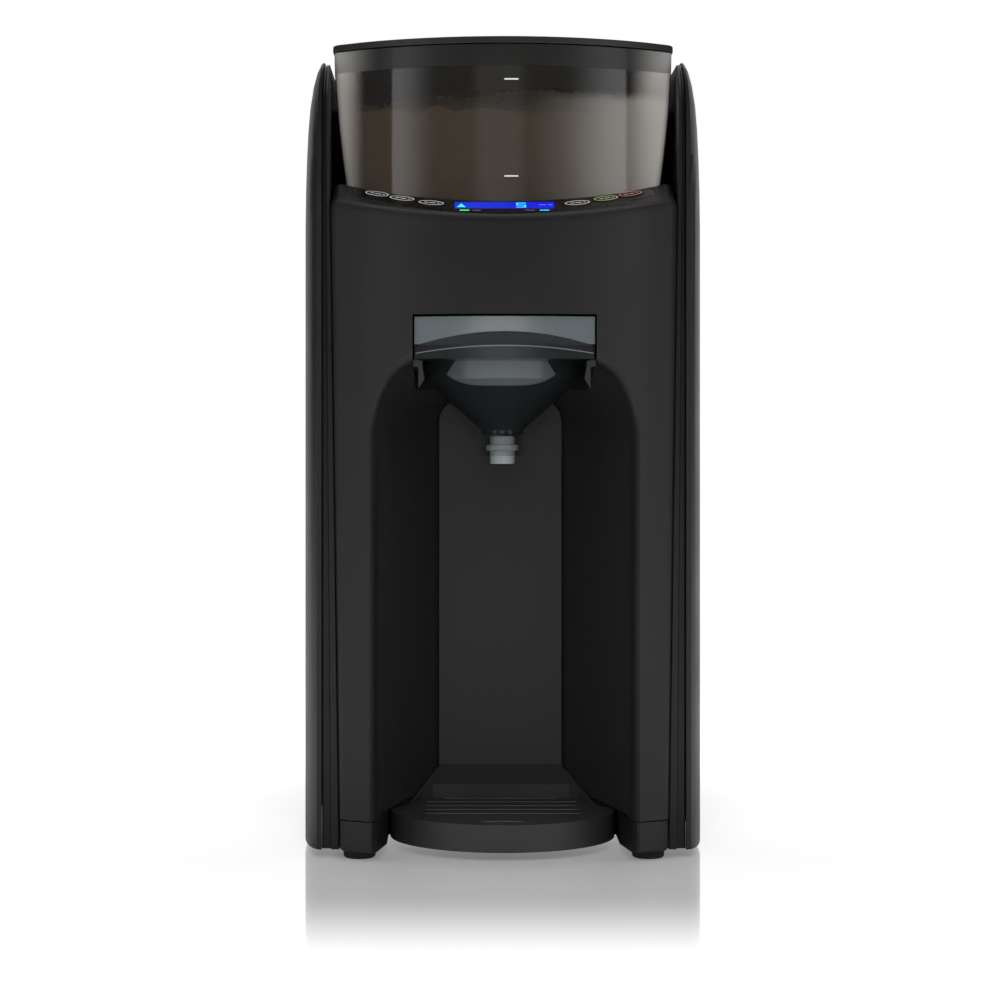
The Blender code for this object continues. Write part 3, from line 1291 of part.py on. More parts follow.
def hose(name, route, colour=GREY):
    """A round hose through hand-picked points, smoothed between them."""
    points = []
    start = (Vector(route[0]) + Vector(route[1])) / 2
    finish = (Vector(route[-1]) + Vector(route[-2])) / 2
    route = [route[0], start, *route[1:-1], finish, route[-1]]
    ends = [route[0], *route, route[-1]]
    for k in range(1, len(ends) - 2):
        p0, p1, p2, p3 = (Vector(p) for p in ends[k - 1:k + 3])
        for step in range(3):
            t = step / 3
            points.append(0.5 * (2 * p1 + (p2 - p0) * t + (2 * p0 - 5 * p1 + 4 * p2 - p3) * t**2
                                 + (3 * p1 - p0 - 3 * p2 + p3) * t**3))
    points.append(Vector(route[-1]))
    curve = bpy.data.curves.new(name, "CURVE")
    curve.dimensions = "3D"
    curve.bevel_depth = HOSE_R
    curve.bevel_resolution = 1
    curve.use_fill_caps = True
    spline = curve.splines.new("POLY")
    spline.points.add(len(points) - 1)
    for point, place in zip(spline.points, points):
        point.co = (*place, 1)
    obj = bpy.data.objects.new(name, curve)
    bpy.context.collection.objects.link(obj)
    return material(obj, colour, 0.5)


def hoses():
    """Tank to pump, pump to heater and heater to funnel."""
    pump = (PUMP_X, PUMP_Y)
    side_x = PUMP_X + PUMP_R + GAP
    hose("inlet_hose", [
        (VALVE_X, VALVE_Y, SPIGOT_LOW - GAP), (VALVE_X, VALVE_Y, SPIGOT_LOW - HOSE_R * 3),
        (VALVE_X / 2, VALVE_Y - HOSE_R * 2, SPIGOT_LOW * HOSE_HIGH_SHARE), (0, VALVE_Y - HOSE_R * 7, SPIGOT_LOW * HOSE_LOW_SHARE),
        (side_x + HOSE_R * 4, PUMP_Y, PUMP_TOP / 2), (side_x, PUMP_Y, PUMP_TOP / 2),
    ])
    top = PUMP_TOP + NIPPLE_TALL + GAP
    wall = HEATER_X - HEATER_R - GAP
    hose("heater_hose", [
        (*pump, top), (*pump, top + HOSE_R * 3), (PUMP_X + HOSE_R * 3, PUMP_Y, top + HOSE_R * 6),
        (wall - HOSE_R * 4, HEATER_Y, top + HOSE_R * 3), (wall, HEATER_Y, top + HOSE_R * 3),
    ])
    top = HEATER_TOP + NIPPLE_TALL + GAP
    out = POCKET_HALF + WALL + GAP
    hose("spray_pipe", [
        (HEATER_X, HEATER_Y, top), (HEATER_X, HEATER_Y, top + HOSE_R * 4),
        (PIPE_X, HEATER_Y - HOSE_R * 6, (top + SPRAY_Z) / 2), (PIPE_X, BAY_BACK_Y, SPRAY_Z),
        (PIPE_X, SPRAY_Y / 2 + BAY_BACK_Y / 2, SPRAY_Z), (PIPE_X, SPRAY_Y - HOSE_R / 2, SPRAY_Z),
        (out + HOSE_R * 2, SPRAY_Y, SPRAY_Z), (out, SPRAY_Y, SPRAY_Z),
    ])


def power_board():
    """The power board on its legs, with transformer and capacitors."""
    floor = FOOT_HEIGHT + WALL + GAP
    low = floor + BOARD_LIFT
    board = box_outline(BOARD_HALF, BOARD_FRONT_Y, BOARD_BACK_Y)
    body = prism("power_board", board, low, low + BOARD_THICK)
    block = box_outline(BOARD_HALF / 3, BOARD_FRONT_Y + WALL, BOARD_FRONT_Y + BOARD_HALF * BLOCK_DEEP_SHARE)
    join(body, prism("transformer", [(x + BOARD_HALF / 3, y) for x, y in block], low + GAP,
                     low + BOARD_HALF * BLOCK_TALL_SHARE))
    for k, side in enumerate((-1, 1)):
        for end, y in enumerate((BOARD_FRONT_Y + WALL * 2, BOARD_BACK_Y - WALL * 2)):
            join(body, disc(f"leg_{k}{end}", side * (BOARD_HALF - WALL * 2), y, WALL, floor, low + GAP, 10))
    for k in range(3):
        place = (-BOARD_HALF / 3 - WALL * 5 * (k - 1), BOARD_FRONT_Y + WALL * 5)
        join(body, disc(f"capacitor_{k}", *place, CAPACITOR_R, low + GAP, low + BOARD_HALF / 2, 14))
    return material(smooth(body), GREEN)


def control_panel():
    """The glossy crescent with its key holes, display opening and indicator slots."""
    body = panel_blank("control_panel", 0, 0)
    for name, (x, y, turn) in KEY_PLACES.items():
        cut(body, key_body(name + "_hole", x, y, turn, KEY_CLEAR, -DECK_THICK, OVERRUN))
    cut(body, deck_bar("display_hole", 0, DISPLAY_Y, DISPLAY_LONG + GAP, DISPLAY_WIDE + GAP, -DECK_THICK))
    for side in (-1, 1):
        cut(body, deck_bar(f"lamp_hole_{side}", side * LAMP_X, LAMP_Y, LAMP_LONG + GAP, LAMP_WIDE + GAP,
                           -DECK_THICK))
    return material(smooth(body), DARK, 0.08)


def display_window():
    body = deck_bar("display_window", 0, DISPLAY_Y, DISPLAY_LONG - GAP, DISPLAY_WIDE - GAP, -PANEL_THICK, 0)
    return material(body, DISPLAY_BLUE, 0.1)


def lamp_lens(name, side):
    body = deck_bar(name, side * LAMP_X, LAMP_Y, LAMP_LONG - GAP, LAMP_WIDE - GAP, -PANEL_THICK, 0)
    return material(body, LAMP_GREEN if side < 0 else LAMP_CYAN, 0.2)


def key(name, x, y, turn):
    """One oval key, which sinks square to the deck onto its switch."""
    body = key_body(name, x, y, turn, -KEY_CLEAR, -PANEL_THICK, KEY_PROUD, 20)
    join(body, stem_body(name + "_stem", x, y, 0, -DECK_THICK - GAP, -PANEL_THICK / 2))
    return material(smooth(body), DARK, 0.15)


def control_board():
    """The board under the deck, with a switch below each key and stand-offs to the deck."""
    top = -DECK_THICK - KEY_TRAVEL * 3
    outline = panel_outline(-BOARD_INSET)
    body = deck_loft("control_board", outline, top - BOARD_THICK, top)
    for name, (x, y, turn) in KEY_PLACES.items():
        switch = deck_bar(name + "_switch", x, y, SWITCH_WIDE, SWITCH_WIDE, top - GAP, top + KEY_TRAVEL)
        join(body, switch)
    for x in (-STANDOFF_X, STANDOFF_X):
        join(body, deck_bar(f"standoff_{x:.3f}", x, STANDOFF_Y, WALL, WALL, top - GAP, -DECK_THICK - GAP))
    return material(smooth(body), GREEN)


base_plate()
for foot_name, (foot_x, foot_y) in FOOT_PLACES.items():
    foot(foot_name, foot_x, foot_y)
front_housing()
back_panel()
side_cover("side_cover_left", -1)
side_cover("side_cover_right", 1)
side_strip("side_strip_left", -1)
side_strip("side_strip_right", 1)
rear_housing()
mid_frame()
gear_cover()
drive_gear()
pinion()
drive_motor()
dosing_base()
dosing_wheel()
powder_container()
powder_lid()
lid_seal()
funnel()
funnel_cover()
funnel_nozzle()
funnel_rail("funnel_rail_left", -1)
funnel_rail("funnel_rail_right", 1)
bottle_tray()
drip_grille()
water_tank()
tank_lid()
hinge_pin()
tank_valve()
valve_seat()
mains_inlet()
water_heater()
water_pump()
hoses()
power_board()
control_panel()
display_window()
lamp_lens("lamp_left", -1)
lamp_lens("lamp_right", 1)
for key_name, (key_x, key_y, key_turn) in KEY_PLACES.items():
    key(key_name, key_x, key_y, key_turn)
control_board()
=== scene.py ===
"""Baby formula maker: the finish of every piece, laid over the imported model.

Metres, +Z up, in the model's own frame: X to the right, Y from the front to the back.
"""

import json
import math

import bmesh
import bpy
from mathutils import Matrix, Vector, noise


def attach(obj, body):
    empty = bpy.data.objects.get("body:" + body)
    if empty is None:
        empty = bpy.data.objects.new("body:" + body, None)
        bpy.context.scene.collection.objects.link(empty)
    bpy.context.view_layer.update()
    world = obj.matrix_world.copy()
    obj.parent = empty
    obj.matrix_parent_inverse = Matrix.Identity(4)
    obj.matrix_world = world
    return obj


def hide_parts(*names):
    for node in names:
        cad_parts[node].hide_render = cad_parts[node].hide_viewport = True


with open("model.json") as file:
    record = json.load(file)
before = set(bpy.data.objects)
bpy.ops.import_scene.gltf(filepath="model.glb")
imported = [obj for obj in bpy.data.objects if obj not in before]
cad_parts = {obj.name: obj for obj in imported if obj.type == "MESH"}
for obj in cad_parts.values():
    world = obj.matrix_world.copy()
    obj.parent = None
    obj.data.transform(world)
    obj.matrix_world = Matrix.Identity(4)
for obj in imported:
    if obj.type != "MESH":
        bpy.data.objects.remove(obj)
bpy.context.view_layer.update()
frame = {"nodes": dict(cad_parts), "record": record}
cad = frame["nodes"]
body_of_node = {n: b for b, group in frame["record"]["behaviour"]["bodies"].items() for n in group}

# Base plate
# The bottom moulding in black ABS. It stands on four feet and leaves a gap in front for the
# tray; the upper housings drop onto its rim. Its outer faces have a fine spark-eroded grain.


def rgba(code):
    """An sRGB hex colour as linear red, green and blue, with full alpha."""
    levels = [int(code[i:i + 2], 16) / 255 for i in (1, 3, 5)]
    return (*(c / 12.92 if c <= 0.04045 else ((c + 0.055) / 1.055) ** 2.4 for c in levels), 1)


def add(tree, kind, settings=None, values=None, links=None):
    """Adds one node to a tree, with its settings, its sockets' values and the sockets that feed it."""
    made = tree.nodes.new(kind)
    for key, value in (settings or {}).items():
        setattr(made, key, value)
    for key, value in (values or {}).items():
        made.inputs[key].default_value = value
    for key, source in (links or {}).items():
        tree.links.new(source, made.inputs[key])
    return made


def new_material(name):
    """A new material, its empty tree, and the object coordinates that every pattern reads."""
    material = bpy.data.materials.new(name)
    material.use_nodes = True
    tree = material.node_tree
    tree.nodes.clear()
    place = add(tree, "ShaderNodeTexCoord")
    return material, tree, place.outputs["Object"]


def blend(tree, factor, low, high):
    """A colour that a factor moves from one sRGB colour to another."""
    made = add(tree, "ShaderNodeMix", {"data_type": "RGBA"}, None, {"Factor": factor})
    made.inputs["A"].default_value = rgba(low)
    made.inputs["B"].default_value = rgba(high)
    return made.outputs["Result"]


def speckle(tree, place, size, detail, roughness=0.5):
    """Noise whose features have a real size in metres."""
    values = {"Scale": 1 / size, "Detail": detail, "Roughness": roughness}
    return add(tree, "ShaderNodeTexNoise", None, values, {"Vector": place}).outputs["Fac"]


def remap(tree, value, low, high, from_low=0.0, from_high=1.0):
    """A value moved from one range to another."""
    values = {"From Min": from_low, "From Max": from_high, "To Min": low, "To Max": high}
    return add(tree, "ShaderNodeMapRange", None, values, {"Value": value}).outputs["Result"]


def principled(tree, values, links):
    """The general surface shader with its fixed values and its patterns."""
    return add(tree, "ShaderNodeBsdfPrincipled", None, values, links).outputs["BSDF"]


def close(tree, surface):
    """Ends a material's tree with its surface."""
    add(tree, "ShaderNodeOutputMaterial", None, None, {"Surface": surface})


def moulded_plastic(name, colour, light, roughness, grain_mm, depth_mm, ior=1.52):
    """A moulded plastic: a grain of a real size, and slow drifts of colour and gloss as handling leaves."""
    material, tree, place = new_material(name)
    grain = speckle(tree, place, grain_mm / 1000, 2, 0.6)
    drift = speckle(tree, place, 0.035, 3)
    gloss = remap(tree, drift, roughness - 0.03, roughness + 0.04, 0.3, 0.7)
    bump = add(tree, "ShaderNodeBump", None, {"Strength": 0.35, "Distance": depth_mm / 1000},
               {"Height": grain})
    tint = blend(tree, drift, colour, light)
    close(tree, principled(tree, {"IOR": ior}, {"Base Color": tint, "Roughness": gloss,
                                                "Normal": bump.outputs["Normal"]}))
    return material


def mesh_object(name, points, faces, sharp_deg=32):
    """An object from points and faces, with its faces outward and its curved faces smooth."""
    mesh = bpy.data.meshes.new(name)
    mesh.from_pydata(points, [], faces)
    work = bmesh.new()
    work.from_mesh(mesh)
    bmesh.ops.recalc_face_normals(work, faces=work.faces)
    work.to_mesh(mesh)
    work.free()
    mesh.shade_smooth()
    mesh.set_sharp_from_angle(angle=math.radians(sharp_deg))
    made = bpy.data.objects.new(name, mesh)
    bpy.context.scene.collection.objects.link(made)
    return made


def settle(made, modifiers):
    """Runs modifiers, given as (kind, settings), and leaves their result as a plain mesh."""
    for kind, settings in modifiers:
        modifier = made.modifiers.new(kind.title(), kind)
        for key, value in settings.items():
            setattr(modifier, key, value)
    bpy.context.view_layer.update()
    ready = made.evaluated_get(bpy.context.evaluated_depsgraph_get())
    mesh = bpy.data.meshes.new_from_object(ready)
    made.modifiers.clear()
    made.data = mesh
    return made


def edge_round(width_mm, segments=3, angle_deg=32):
    """The two modifiers that round a moulding's edges and keep its flat faces flat."""
    return [("BEVEL", {"width": width_mm / 1000, "segments": segments, "limit_method": "ANGLE",
                       "angle_limit": math.radians(angle_deg), "harden_normals": True}),
            ("WEIGHTED_NORMAL", {"keep_sharp": True})]


def finish(made, node, material):
    """Gives a piece its material, puts it on the body of the node that it replaces, and hides the node."""
    made.data.materials.clear()
    made.data.materials.append(material)
    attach(made, body_of_node[node])
    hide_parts(node)
    return made


def from_cad(node, material, width_mm=0.35, segments=2, angle_deg=32):
    """A piece whose solid already has the right shape: a merged copy of it with rounded edges."""
    made = bpy.data.objects.new(node + "_skin", cad[node].data.copy())
    bpy.context.scene.collection.objects.link(made)
    work = bmesh.new()
    work.from_mesh(made.data)
    bmesh.ops.remove_doubles(work, verts=work.verts, dist=0.000002)
    bmesh.ops.dissolve_limit(work, angle_limit=math.radians(0.4), verts=work.verts, edges=work.edges)
    work.to_mesh(made.data)
    work.free()
    made.data.shade_smooth()
    made.data.set_sharp_from_angle(angle=math.radians(angle_deg))
    settle(made, edge_round(width_mm, segments, angle_deg))
    return finish(made, node, material)


# A fine grain breaks the gloss up into an even satin black.
black_abs = moulded_plastic("moulded_black_abs", "#181818", "#1c1c1c", 0.42, 0.55, 0.02)
from_cad("base_plate", black_abs, 0.5)

# Base screws
# Six steel screws, turned and plated in black zinc, that hold the shell to the base plate. Their
# cross-slotted heads sit in its underside between the feet.
HEAD_RADIUS, HEAD_HEIGHT, SLOT_WIDTH, SLOT_REACH = 0.0034, 0.0012, 0.0009, 1.25
SCREW_ROWS, SCREW_Z = ((0.06, -0.085), (0.06, 0.02), (0.05, 0.112)), 0.0032


def sums(tree, kind, *values):
    """One calculation on values that are numbers or sockets."""
    made = add(tree, "ShaderNodeMath", {"operation": kind})
    for socket, value in enumerate(values):
        if isinstance(value, (int, float)):
            made.inputs[socket].default_value = value
        else:
            tree.links.new(value, made.inputs[socket])
    return made.outputs[0]


def nodes_tree(name, inputs):
    """A Geometry Nodes tree with a geometry socket and named inputs, given as (name, kind)."""
    tree = bpy.data.node_groups.new(name, "GeometryNodeTree")
    tree.interface.new_socket("Geometry", in_out="INPUT", socket_type="NodeSocketGeometry")
    tree.interface.new_socket("Geometry", in_out="OUTPUT", socket_type="NodeSocketGeometry")
    for label, kind in inputs:
        tree.interface.new_socket(label, in_out="INPUT", socket_type="NodeSocket" + kind)
    return tree, add(tree, "NodeGroupInput").outputs


def end_tree(tree, instances, material, shaping=None):
    """Ends a tree: the instances become real, take their shaping and material, and go out."""
    real = add(tree, "GeometryNodeRealizeInstances", None, None, {"Geometry": instances})
    if shaping:
        real = add(tree, "GeometryNodeSetPosition", None, None,
                   {"Geometry": real.outputs["Geometry"], "Offset": shaping})
    painted = add(tree, "GeometryNodeSetMaterial", None, {"Material": material},
                  {"Geometry": real.outputs["Geometry"]})
    add(tree, "NodeGroupOutput", None, None, {"Geometry": painted.outputs["Geometry"]})


def grown(name, host, tree, values):
    """The plain mesh that a tree makes on a host, with the tree's inputs set by their identifiers."""
    modifier = host.modifiers.new(name, "NODES")
    modifier.node_group = tree
    for socket in tree.interface.items_tree:
        if socket.in_out == "INPUT" and socket.name in values:
            modifier[socket.identifier] = values[socket.name]
    seen = host.evaluated_get(bpy.context.evaluated_depsgraph_get())
    mesh = bpy.data.meshes.new_from_object(seen)
    host.modifiers.remove(modifier)
    bpy.data.objects.remove(host)
    mesh.name = name
    made = bpy.data.objects.new(name, mesh)
    bpy.context.scene.collection.objects.link(made)
    return made


# Black zinc on turned steel: a dim metal sheen with a fine turning grain.
zinc_steel, tree, place = new_material("black_zinc_steel")
gloss = remap(tree, speckle(tree, place, 0.0012, 3), 0.3, 0.48)
close(tree, principled(tree, {"Base Color": rgba("#55585a"), "Metallic": 1}, {"Roughness": gloss}))
tree, given = nodes_tree("screw_heads", (("Head radius", "Float"), ("Head height", "Float"),
                                         ("Slot width", "Float")))
head = add(tree, "GeometryNodeMeshCylinder", None, {"Vertices": 32},
           {"Radius": given["Head radius"], "Depth": given["Head height"]})
slot_long = sums(tree, "MULTIPLY", given["Head radius"], SLOT_REACH)
head_low = sums(tree, "MULTIPLY", given["Head height"], -0.5)
down = add(tree, "ShaderNodeCombineXYZ", None, None, {"Z": head_low})
crossed = add(tree, "GeometryNodeMeshBoolean", {"operation": "DIFFERENCE"}, None,
              {"Mesh 1": head.outputs["Mesh"]})
for long, wide in ((slot_long, given["Slot width"]), (given["Slot width"], slot_long)):
    size = add(tree, "ShaderNodeCombineXYZ", None, None, {"X": long, "Y": wide, "Z": given["Head height"]})
    bar = add(tree, "GeometryNodeMeshCube", None, None, {"Size": size.outputs["Vector"]})
    sunk = add(tree, "GeometryNodeTransform", None, None,
               {"Geometry": bar.outputs["Mesh"], "Translation": down.outputs["Vector"]})
    tree.links.new(sunk.outputs["Geometry"], crossed.inputs["Mesh 2"])
heads = add(tree, "GeometryNodeInstanceOnPoints", None, None,
            {"Points": given["Geometry"], "Instance": crossed.outputs["Mesh"]})
end_tree(tree, heads.outputs["Instances"], zinc_steel)
places = [(side * x, y, SCREW_Z) for x, y in SCREW_ROWS for side in (-1, 1)]
screws = grown("base_screws", mesh_object("screw_places", places, []), tree,
               {"Head radius": HEAD_RADIUS, "Head height": HEAD_HEIGHT, "Slot width": SLOT_WIDTH})
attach(screws, "housing")

# Feet
# Four rubber pads pressed into seats in the base plate. They are compression-moulded, and only their
# lower rims show under the shell.
# Dull, with a dry grain that takes dust and shows no highlight.
foot_rubber = moulded_plastic("moulded_foot_rubber", "#1a1a1a", "#262625", 0.85, 0.8, 0.03, 1.5)
for foot in ("foot_front_left", "foot_front_right", "foot_rear_left", "foot_rear_right"):
    from_cad(foot, foot_rubber, 0.4)

# Front housing
# One bowed ABS moulding: the face, the arched bottle bay, the funnel's pocket and the sloping deck for
# the keys. The bay's mouth rolls inwards. The tool is grained finely; inside the bay the colour is
# painted paler, painted light that lifts the bay's shade.
FACE_Y, FACE_BOW, FACE_EDGE = -0.1425, 0.145, 0.005
HOUSING_REAR, HOUSING_LOW, HOUSING_WALL = -0.0165, 0.01725, 0.0025
HALF_LOW, HALF_GROWTH, HALF_HIGH, FOOT_Z = 0.0713, 0.0039, 0.0752, 0.0035
DECK_FRONT, DECK_LEVEL, DECK_SLOPE, DECK_THICK = -0.1225, 0.2855, 0.43, 0.0042
RIM_INSET, RIM_DROP = 0.0034, 0.0048
PANEL_HALF, PANEL_FRONT, PANEL_BOW, PANEL_TIP, WELL_LIP = 0.0665, -0.1406, 0.098, 0.0012, 0.0022
BAY_MOUTH, BAY_REAR, BAY_ROLL, BAY_CURVE = -0.1175, -0.0225, 0.0085, 1.3
BAY_HALF_FRONT, BAY_HALF_REAR, BAY_TOP, BAY_FALL = 0.0546, 0.0294, 0.2155, 0.0143
ARCH_WIDE, ARCH_NARROWING, ARCH_TALL, ARCH_FLATTENING = 0.0235, 0.0135, 0.032, 0.022
FUNNEL_AT, POCKET_HALF, POCKET_LOW, POCKET_HIGH = -0.0775, 0.0394, 0.2, 0.2352
CHUTE_RADIUS, CHUTE_TOP = 0.0075, 0.244
BIN_FRONT, BIN_REAR, BIN_BOW = -0.1233, 0.02, 0.1227
BIN_SIDE, BIN_RIM_Z, BIN_WALL = 0.0749, 0.3532, 0.0024
BIN_TAPER, BIN_TAPER_DEPTH, BIN_TAPER_CURVE = 0.0046, 0.054, 1.6
CLEAR, WELL_CLEAR, PAST, OVER_ALL = 0.0003, 0.0009, 0.006, 0.36


def loft(name, rings, sharp_deg=32):
    """A closed body through rings that hold the same number of points, capped at both ends."""
    count = len(rings[0])
    faces = [tuple(range(count)), tuple(range(count * (len(rings) - 1), count * len(rings)))]
    for row in range(len(rings) - 1):
        for i in range(count):
            j = (i + 1) % count
            faces.append((row * count + i, row * count + j, (row + 1) * count + j, (row + 1) * count + i))
    return mesh_object(name, [point for ring in rings for point in ring], faces, sharp_deg)


def rounded(corners, steps=8):
    """A closed outline whose corners, given as (a, b, radius), are rounded."""
    outline = []
    for i, (a, b, radius) in enumerate(corners):
        if not radius:
            outline.append((a, b))
            continue
        here = Vector((a, b))
        before = (Vector(corners[i - 1][:2]) - here).normalized()
        after = (Vector(corners[(i + 1) % len(corners)][:2]) - here).normalized()
        half = before.angle(after) / 2
        centre = here + (before + after).normalized() * (radius / math.sin(half))
        start = here + before * (radius / math.tan(half)) - centre
        end = here + after * (radius / math.tan(half)) - centre
        first = math.atan2(start.y, start.x)
        sweep = (math.atan2(end.y, end.x) - first + math.pi) % math.tau - math.pi
        for step in range(steps + 1):
            angle = first + sweep * step / steps
            outline.append((centre.x + radius * math.cos(angle), centre.y + radius * math.sin(angle)))
    return outline


def bowed_plan(half, inset, rear, bow, front, corner, rear_corner=0.0, steps=56):
    """A plan outline with a bowed front, rounded corners and straight sides."""
    reach, radius, centre = half - inset, bow - inset, front + bow
    arc = []
    for step in range(steps + 1):
        x = reach * 0.84 * (2 * step / steps - 1)
        arc.append((x, centre - math.sqrt(radius**2 - x**2), 0))
    edge = centre - math.sqrt(radius**2 - reach**2)
    return rounded([*arc, (reach, edge, corner), (reach, rear, rear_corner), (-reach, rear, rear_corner),
                    (-reach, edge, corner)])


def boolean(body, others, operation="DIFFERENCE"):
    """Cuts other bodies out of one, or joins them to it, and removes them; a plain mesh is left."""
    settle(body, [("BOOLEAN", {"object": other, "operation": operation, "solver": "EXACT"})
                  for other in others])
    for other in others:
        bpy.data.objects.remove(other)
    return body


def even_normals(made, sharp_deg=32):
    """Smooth shading that keeps large faces flat after a cut."""
    made.data.shade_smooth()
    made.data.set_sharp_from_angle(angle=math.radians(sharp_deg))
    return settle(made, [("WEIGHTED_NORMAL", {"keep_sharp": True, "weight": 60})])


def housing_half(z):
    """Half the housing's width, a little more towards the top."""
    return HALF_LOW + HALF_GROWTH * (z - FOOT_Z) / (DECK_LEVEL - FOOT_Z)


def housing_plan(half, inset, rear=HOUSING_REAR):
    """The housing's plan outline, drawn in by an inset."""
    return bowed_plan(half, inset, rear, FACE_BOW, FACE_Y, max(FACE_EDGE - inset, FACE_EDGE / 4))


def deck_height(y):
    """The sloping deck's height at a depth."""
    return DECK_LEVEL + (y - DECK_FRONT) * DECK_SLOPE


def deck_point(x, y, lift):
    """A place on the sloping deck, lifted square to it."""
    lean = math.atan(DECK_SLOPE)
    return (x, y - lift * math.sin(lean), deck_height(y) + lift * math.cos(lean))


def deck_ring(outline, lift):
    """An outline laid on the deck, lifted square to it."""
    return [deck_point(x, y, lift) for x, y in outline]


def deck_prism(name, outline, low, high):
    """A body that stands square on the deck, from one lift to another."""
    return loft(name, [deck_ring(outline, low), deck_ring(outline, high)])


def turned_by(x, y, turn, a, b):
    """A place at (a, b) from a middle, turned round it."""
    return (x + a * math.cos(turn) + b * math.sin(turn), y - a * math.sin(turn) + b * math.cos(turn))


def deck_oval(x, y, turn, long, wide, steps=64):
    """An oval outline on the deck."""
    outline = []
    for step in range(steps):
        a = long / 2 * math.cos(math.tau * step / steps)
        b = wide / 2 * math.sin(math.tau * step / steps)
        outline.append(turned_by(x, y, turn, a, b))
    return outline


def deck_box(x, y, long, wide, turn=0.0):
    """A rectangle on the deck."""
    corners = [(-long / 2, -wide / 2), (long / 2, -wide / 2), (long / 2, wide / 2), (-long / 2, wide / 2)]
    return [turned_by(x, y, turn, a, b) for a, b in corners]


def crescent(grow, steps=64):
    """The control panel's outline: a flatter arc in front, the container's well behind."""
    half, bow = PANEL_HALF + grow, BIN_BOW + WELL_LIP - grow
    outline = []
    for step in range(steps + 1):
        x = half * (2 * step / steps - 1)
        outline.append((x, PANEL_FRONT - grow + PANEL_BOW - math.sqrt(PANEL_BOW**2 - x**2)))
    for step in range(steps + 1):
        x = (half - PANEL_TIP) * (1 - 2 * step / steps)
        outline.append((x, BIN_FRONT + BIN_BOW - math.sqrt(bow**2 - x**2)))
    return outline


def bay_half(y):
    """Half the bay's width at a depth: the side walls curve in towards the back panel."""
    share = max((y - BAY_MOUTH) / (BAY_REAR - BAY_MOUTH), 0)
    narrowing = 1 - (BAY_HALF_REAR / BAY_HALF_FRONT) ** 2
    return BAY_HALF_FRONT * math.sqrt(1 - narrowing * share**BAY_CURVE)


def arch(y, grow=0.0, steps=26):
    """The bay's outline at a depth, from one foot over the arch to the other."""
    share = min(max((y - BAY_MOUTH) / (BAY_REAR - BAY_MOUTH), 0), 1)
    half, top = bay_half(y), BAY_TOP - BAY_FALL * share
    wide, tall = ARCH_WIDE - ARCH_NARROWING * share, ARCH_TALL - ARCH_FLATTENING * share
    left = [(-half - grow, FOOT_Z)]
    for step in range(steps + 1):
        turn = math.pi / 2 * step / steps
        left.append((-half + wide * (1 - math.cos(turn)) - grow * math.cos(turn),
                     top - tall * (1 - math.sin(turn)) + grow * math.sin(turn)))
    return left + [(-x, z) for x, z in reversed(left)]


def face_at(x):
    """How far forward the bowed face lies at a place across it."""
    return FACE_Y + FACE_BOW - math.sqrt(FACE_BOW**2 - x**2)


def bay_hollow(name, grow=0.0):
    """The bay as a solid: a roll at the face, then an arch that narrows to the back."""
    mouth = arch(BAY_MOUTH)
    rings = [[(x, FACE_Y - PAST, z) for x, z in arch(BAY_MOUTH, BAY_ROLL + grow)]]
    for step in range(13):
        turn = math.pi / 2 * step / 12
        ring = arch(BAY_MOUTH, BAY_ROLL * (1 - math.sin(turn)) + grow)
        depths = [face_at(x) + BAY_ROLL * (1 - math.cos(turn)) for x, z in mouth]
        rings.append([(x, y, z) for (x, z), y in zip(ring, depths)])
    for step in range(1, 15):
        y = BAY_MOUTH + (BAY_REAR - BAY_MOUTH) * step / 14
        rings.append([(x, y, z) for x, z in arch(y, grow)])
    rings.append([(x, HOUSING_REAR + PAST, z) for x, z in arch(BAY_REAR, grow)])
    return loft(name, rings)


def pocket_hollow(name, grow=0.0):
    """The funnel's pocket as a solid, square in front and round behind."""
    half = POCKET_HALF + grow
    outline = [(-half, FACE_Y - PAST), (half, FACE_Y - PAST)]
    for step in range(49):
        turn = math.pi * step / 48
        outline.append((half * math.cos(turn), FUNNEL_AT + half * math.sin(turn)))
    return loft(name, [[(x, y, z) for x, y in outline] for z in (POCKET_LOW - grow, POCKET_HIGH + grow)])


def bin_half(z):
    """Half the container's width at a height; its sides draw in towards the bottom."""
    return BIN_SIDE - BIN_TAPER * (max(BIN_RIM_Z - z, 0) / BIN_TAPER_DEPTH) ** BIN_TAPER_CURVE


def bin_ring(z, grow=0.0):
    """The container's outline at a height, grown or shrunk by a clearance."""
    corner, back = max(0.006 + grow, 0.0015), max(0.018 + grow, 0.0045)
    plan = bowed_plan(bin_half(z), -grow, BIN_REAR + grow, BIN_BOW, BIN_FRONT, corner, back)
    return [(x, y, z) for x, y in plan]


def cylinder(name, x, y, radius, low, high, steps=48):
    """An upright cylinder."""
    ring = [(x + radius * math.cos(math.tau * k / steps), y + radius * math.sin(math.tau * k / steps))
            for k in range(steps)]
    return loft(name, [[(a, b, z) for a, b in ring] for z in (low, high)])


def level_block(name, low):
    """A block over the whole machine, from a level upwards."""
    wide, back = 0.09, 0.1425
    block = [(-wide, FACE_Y - PAST), (wide, FACE_Y - PAST), (wide, back), (-wide, back)]
    return loft(name, [[(x, y, z) for x, y in block] for z in (low, OVER_ALL)])


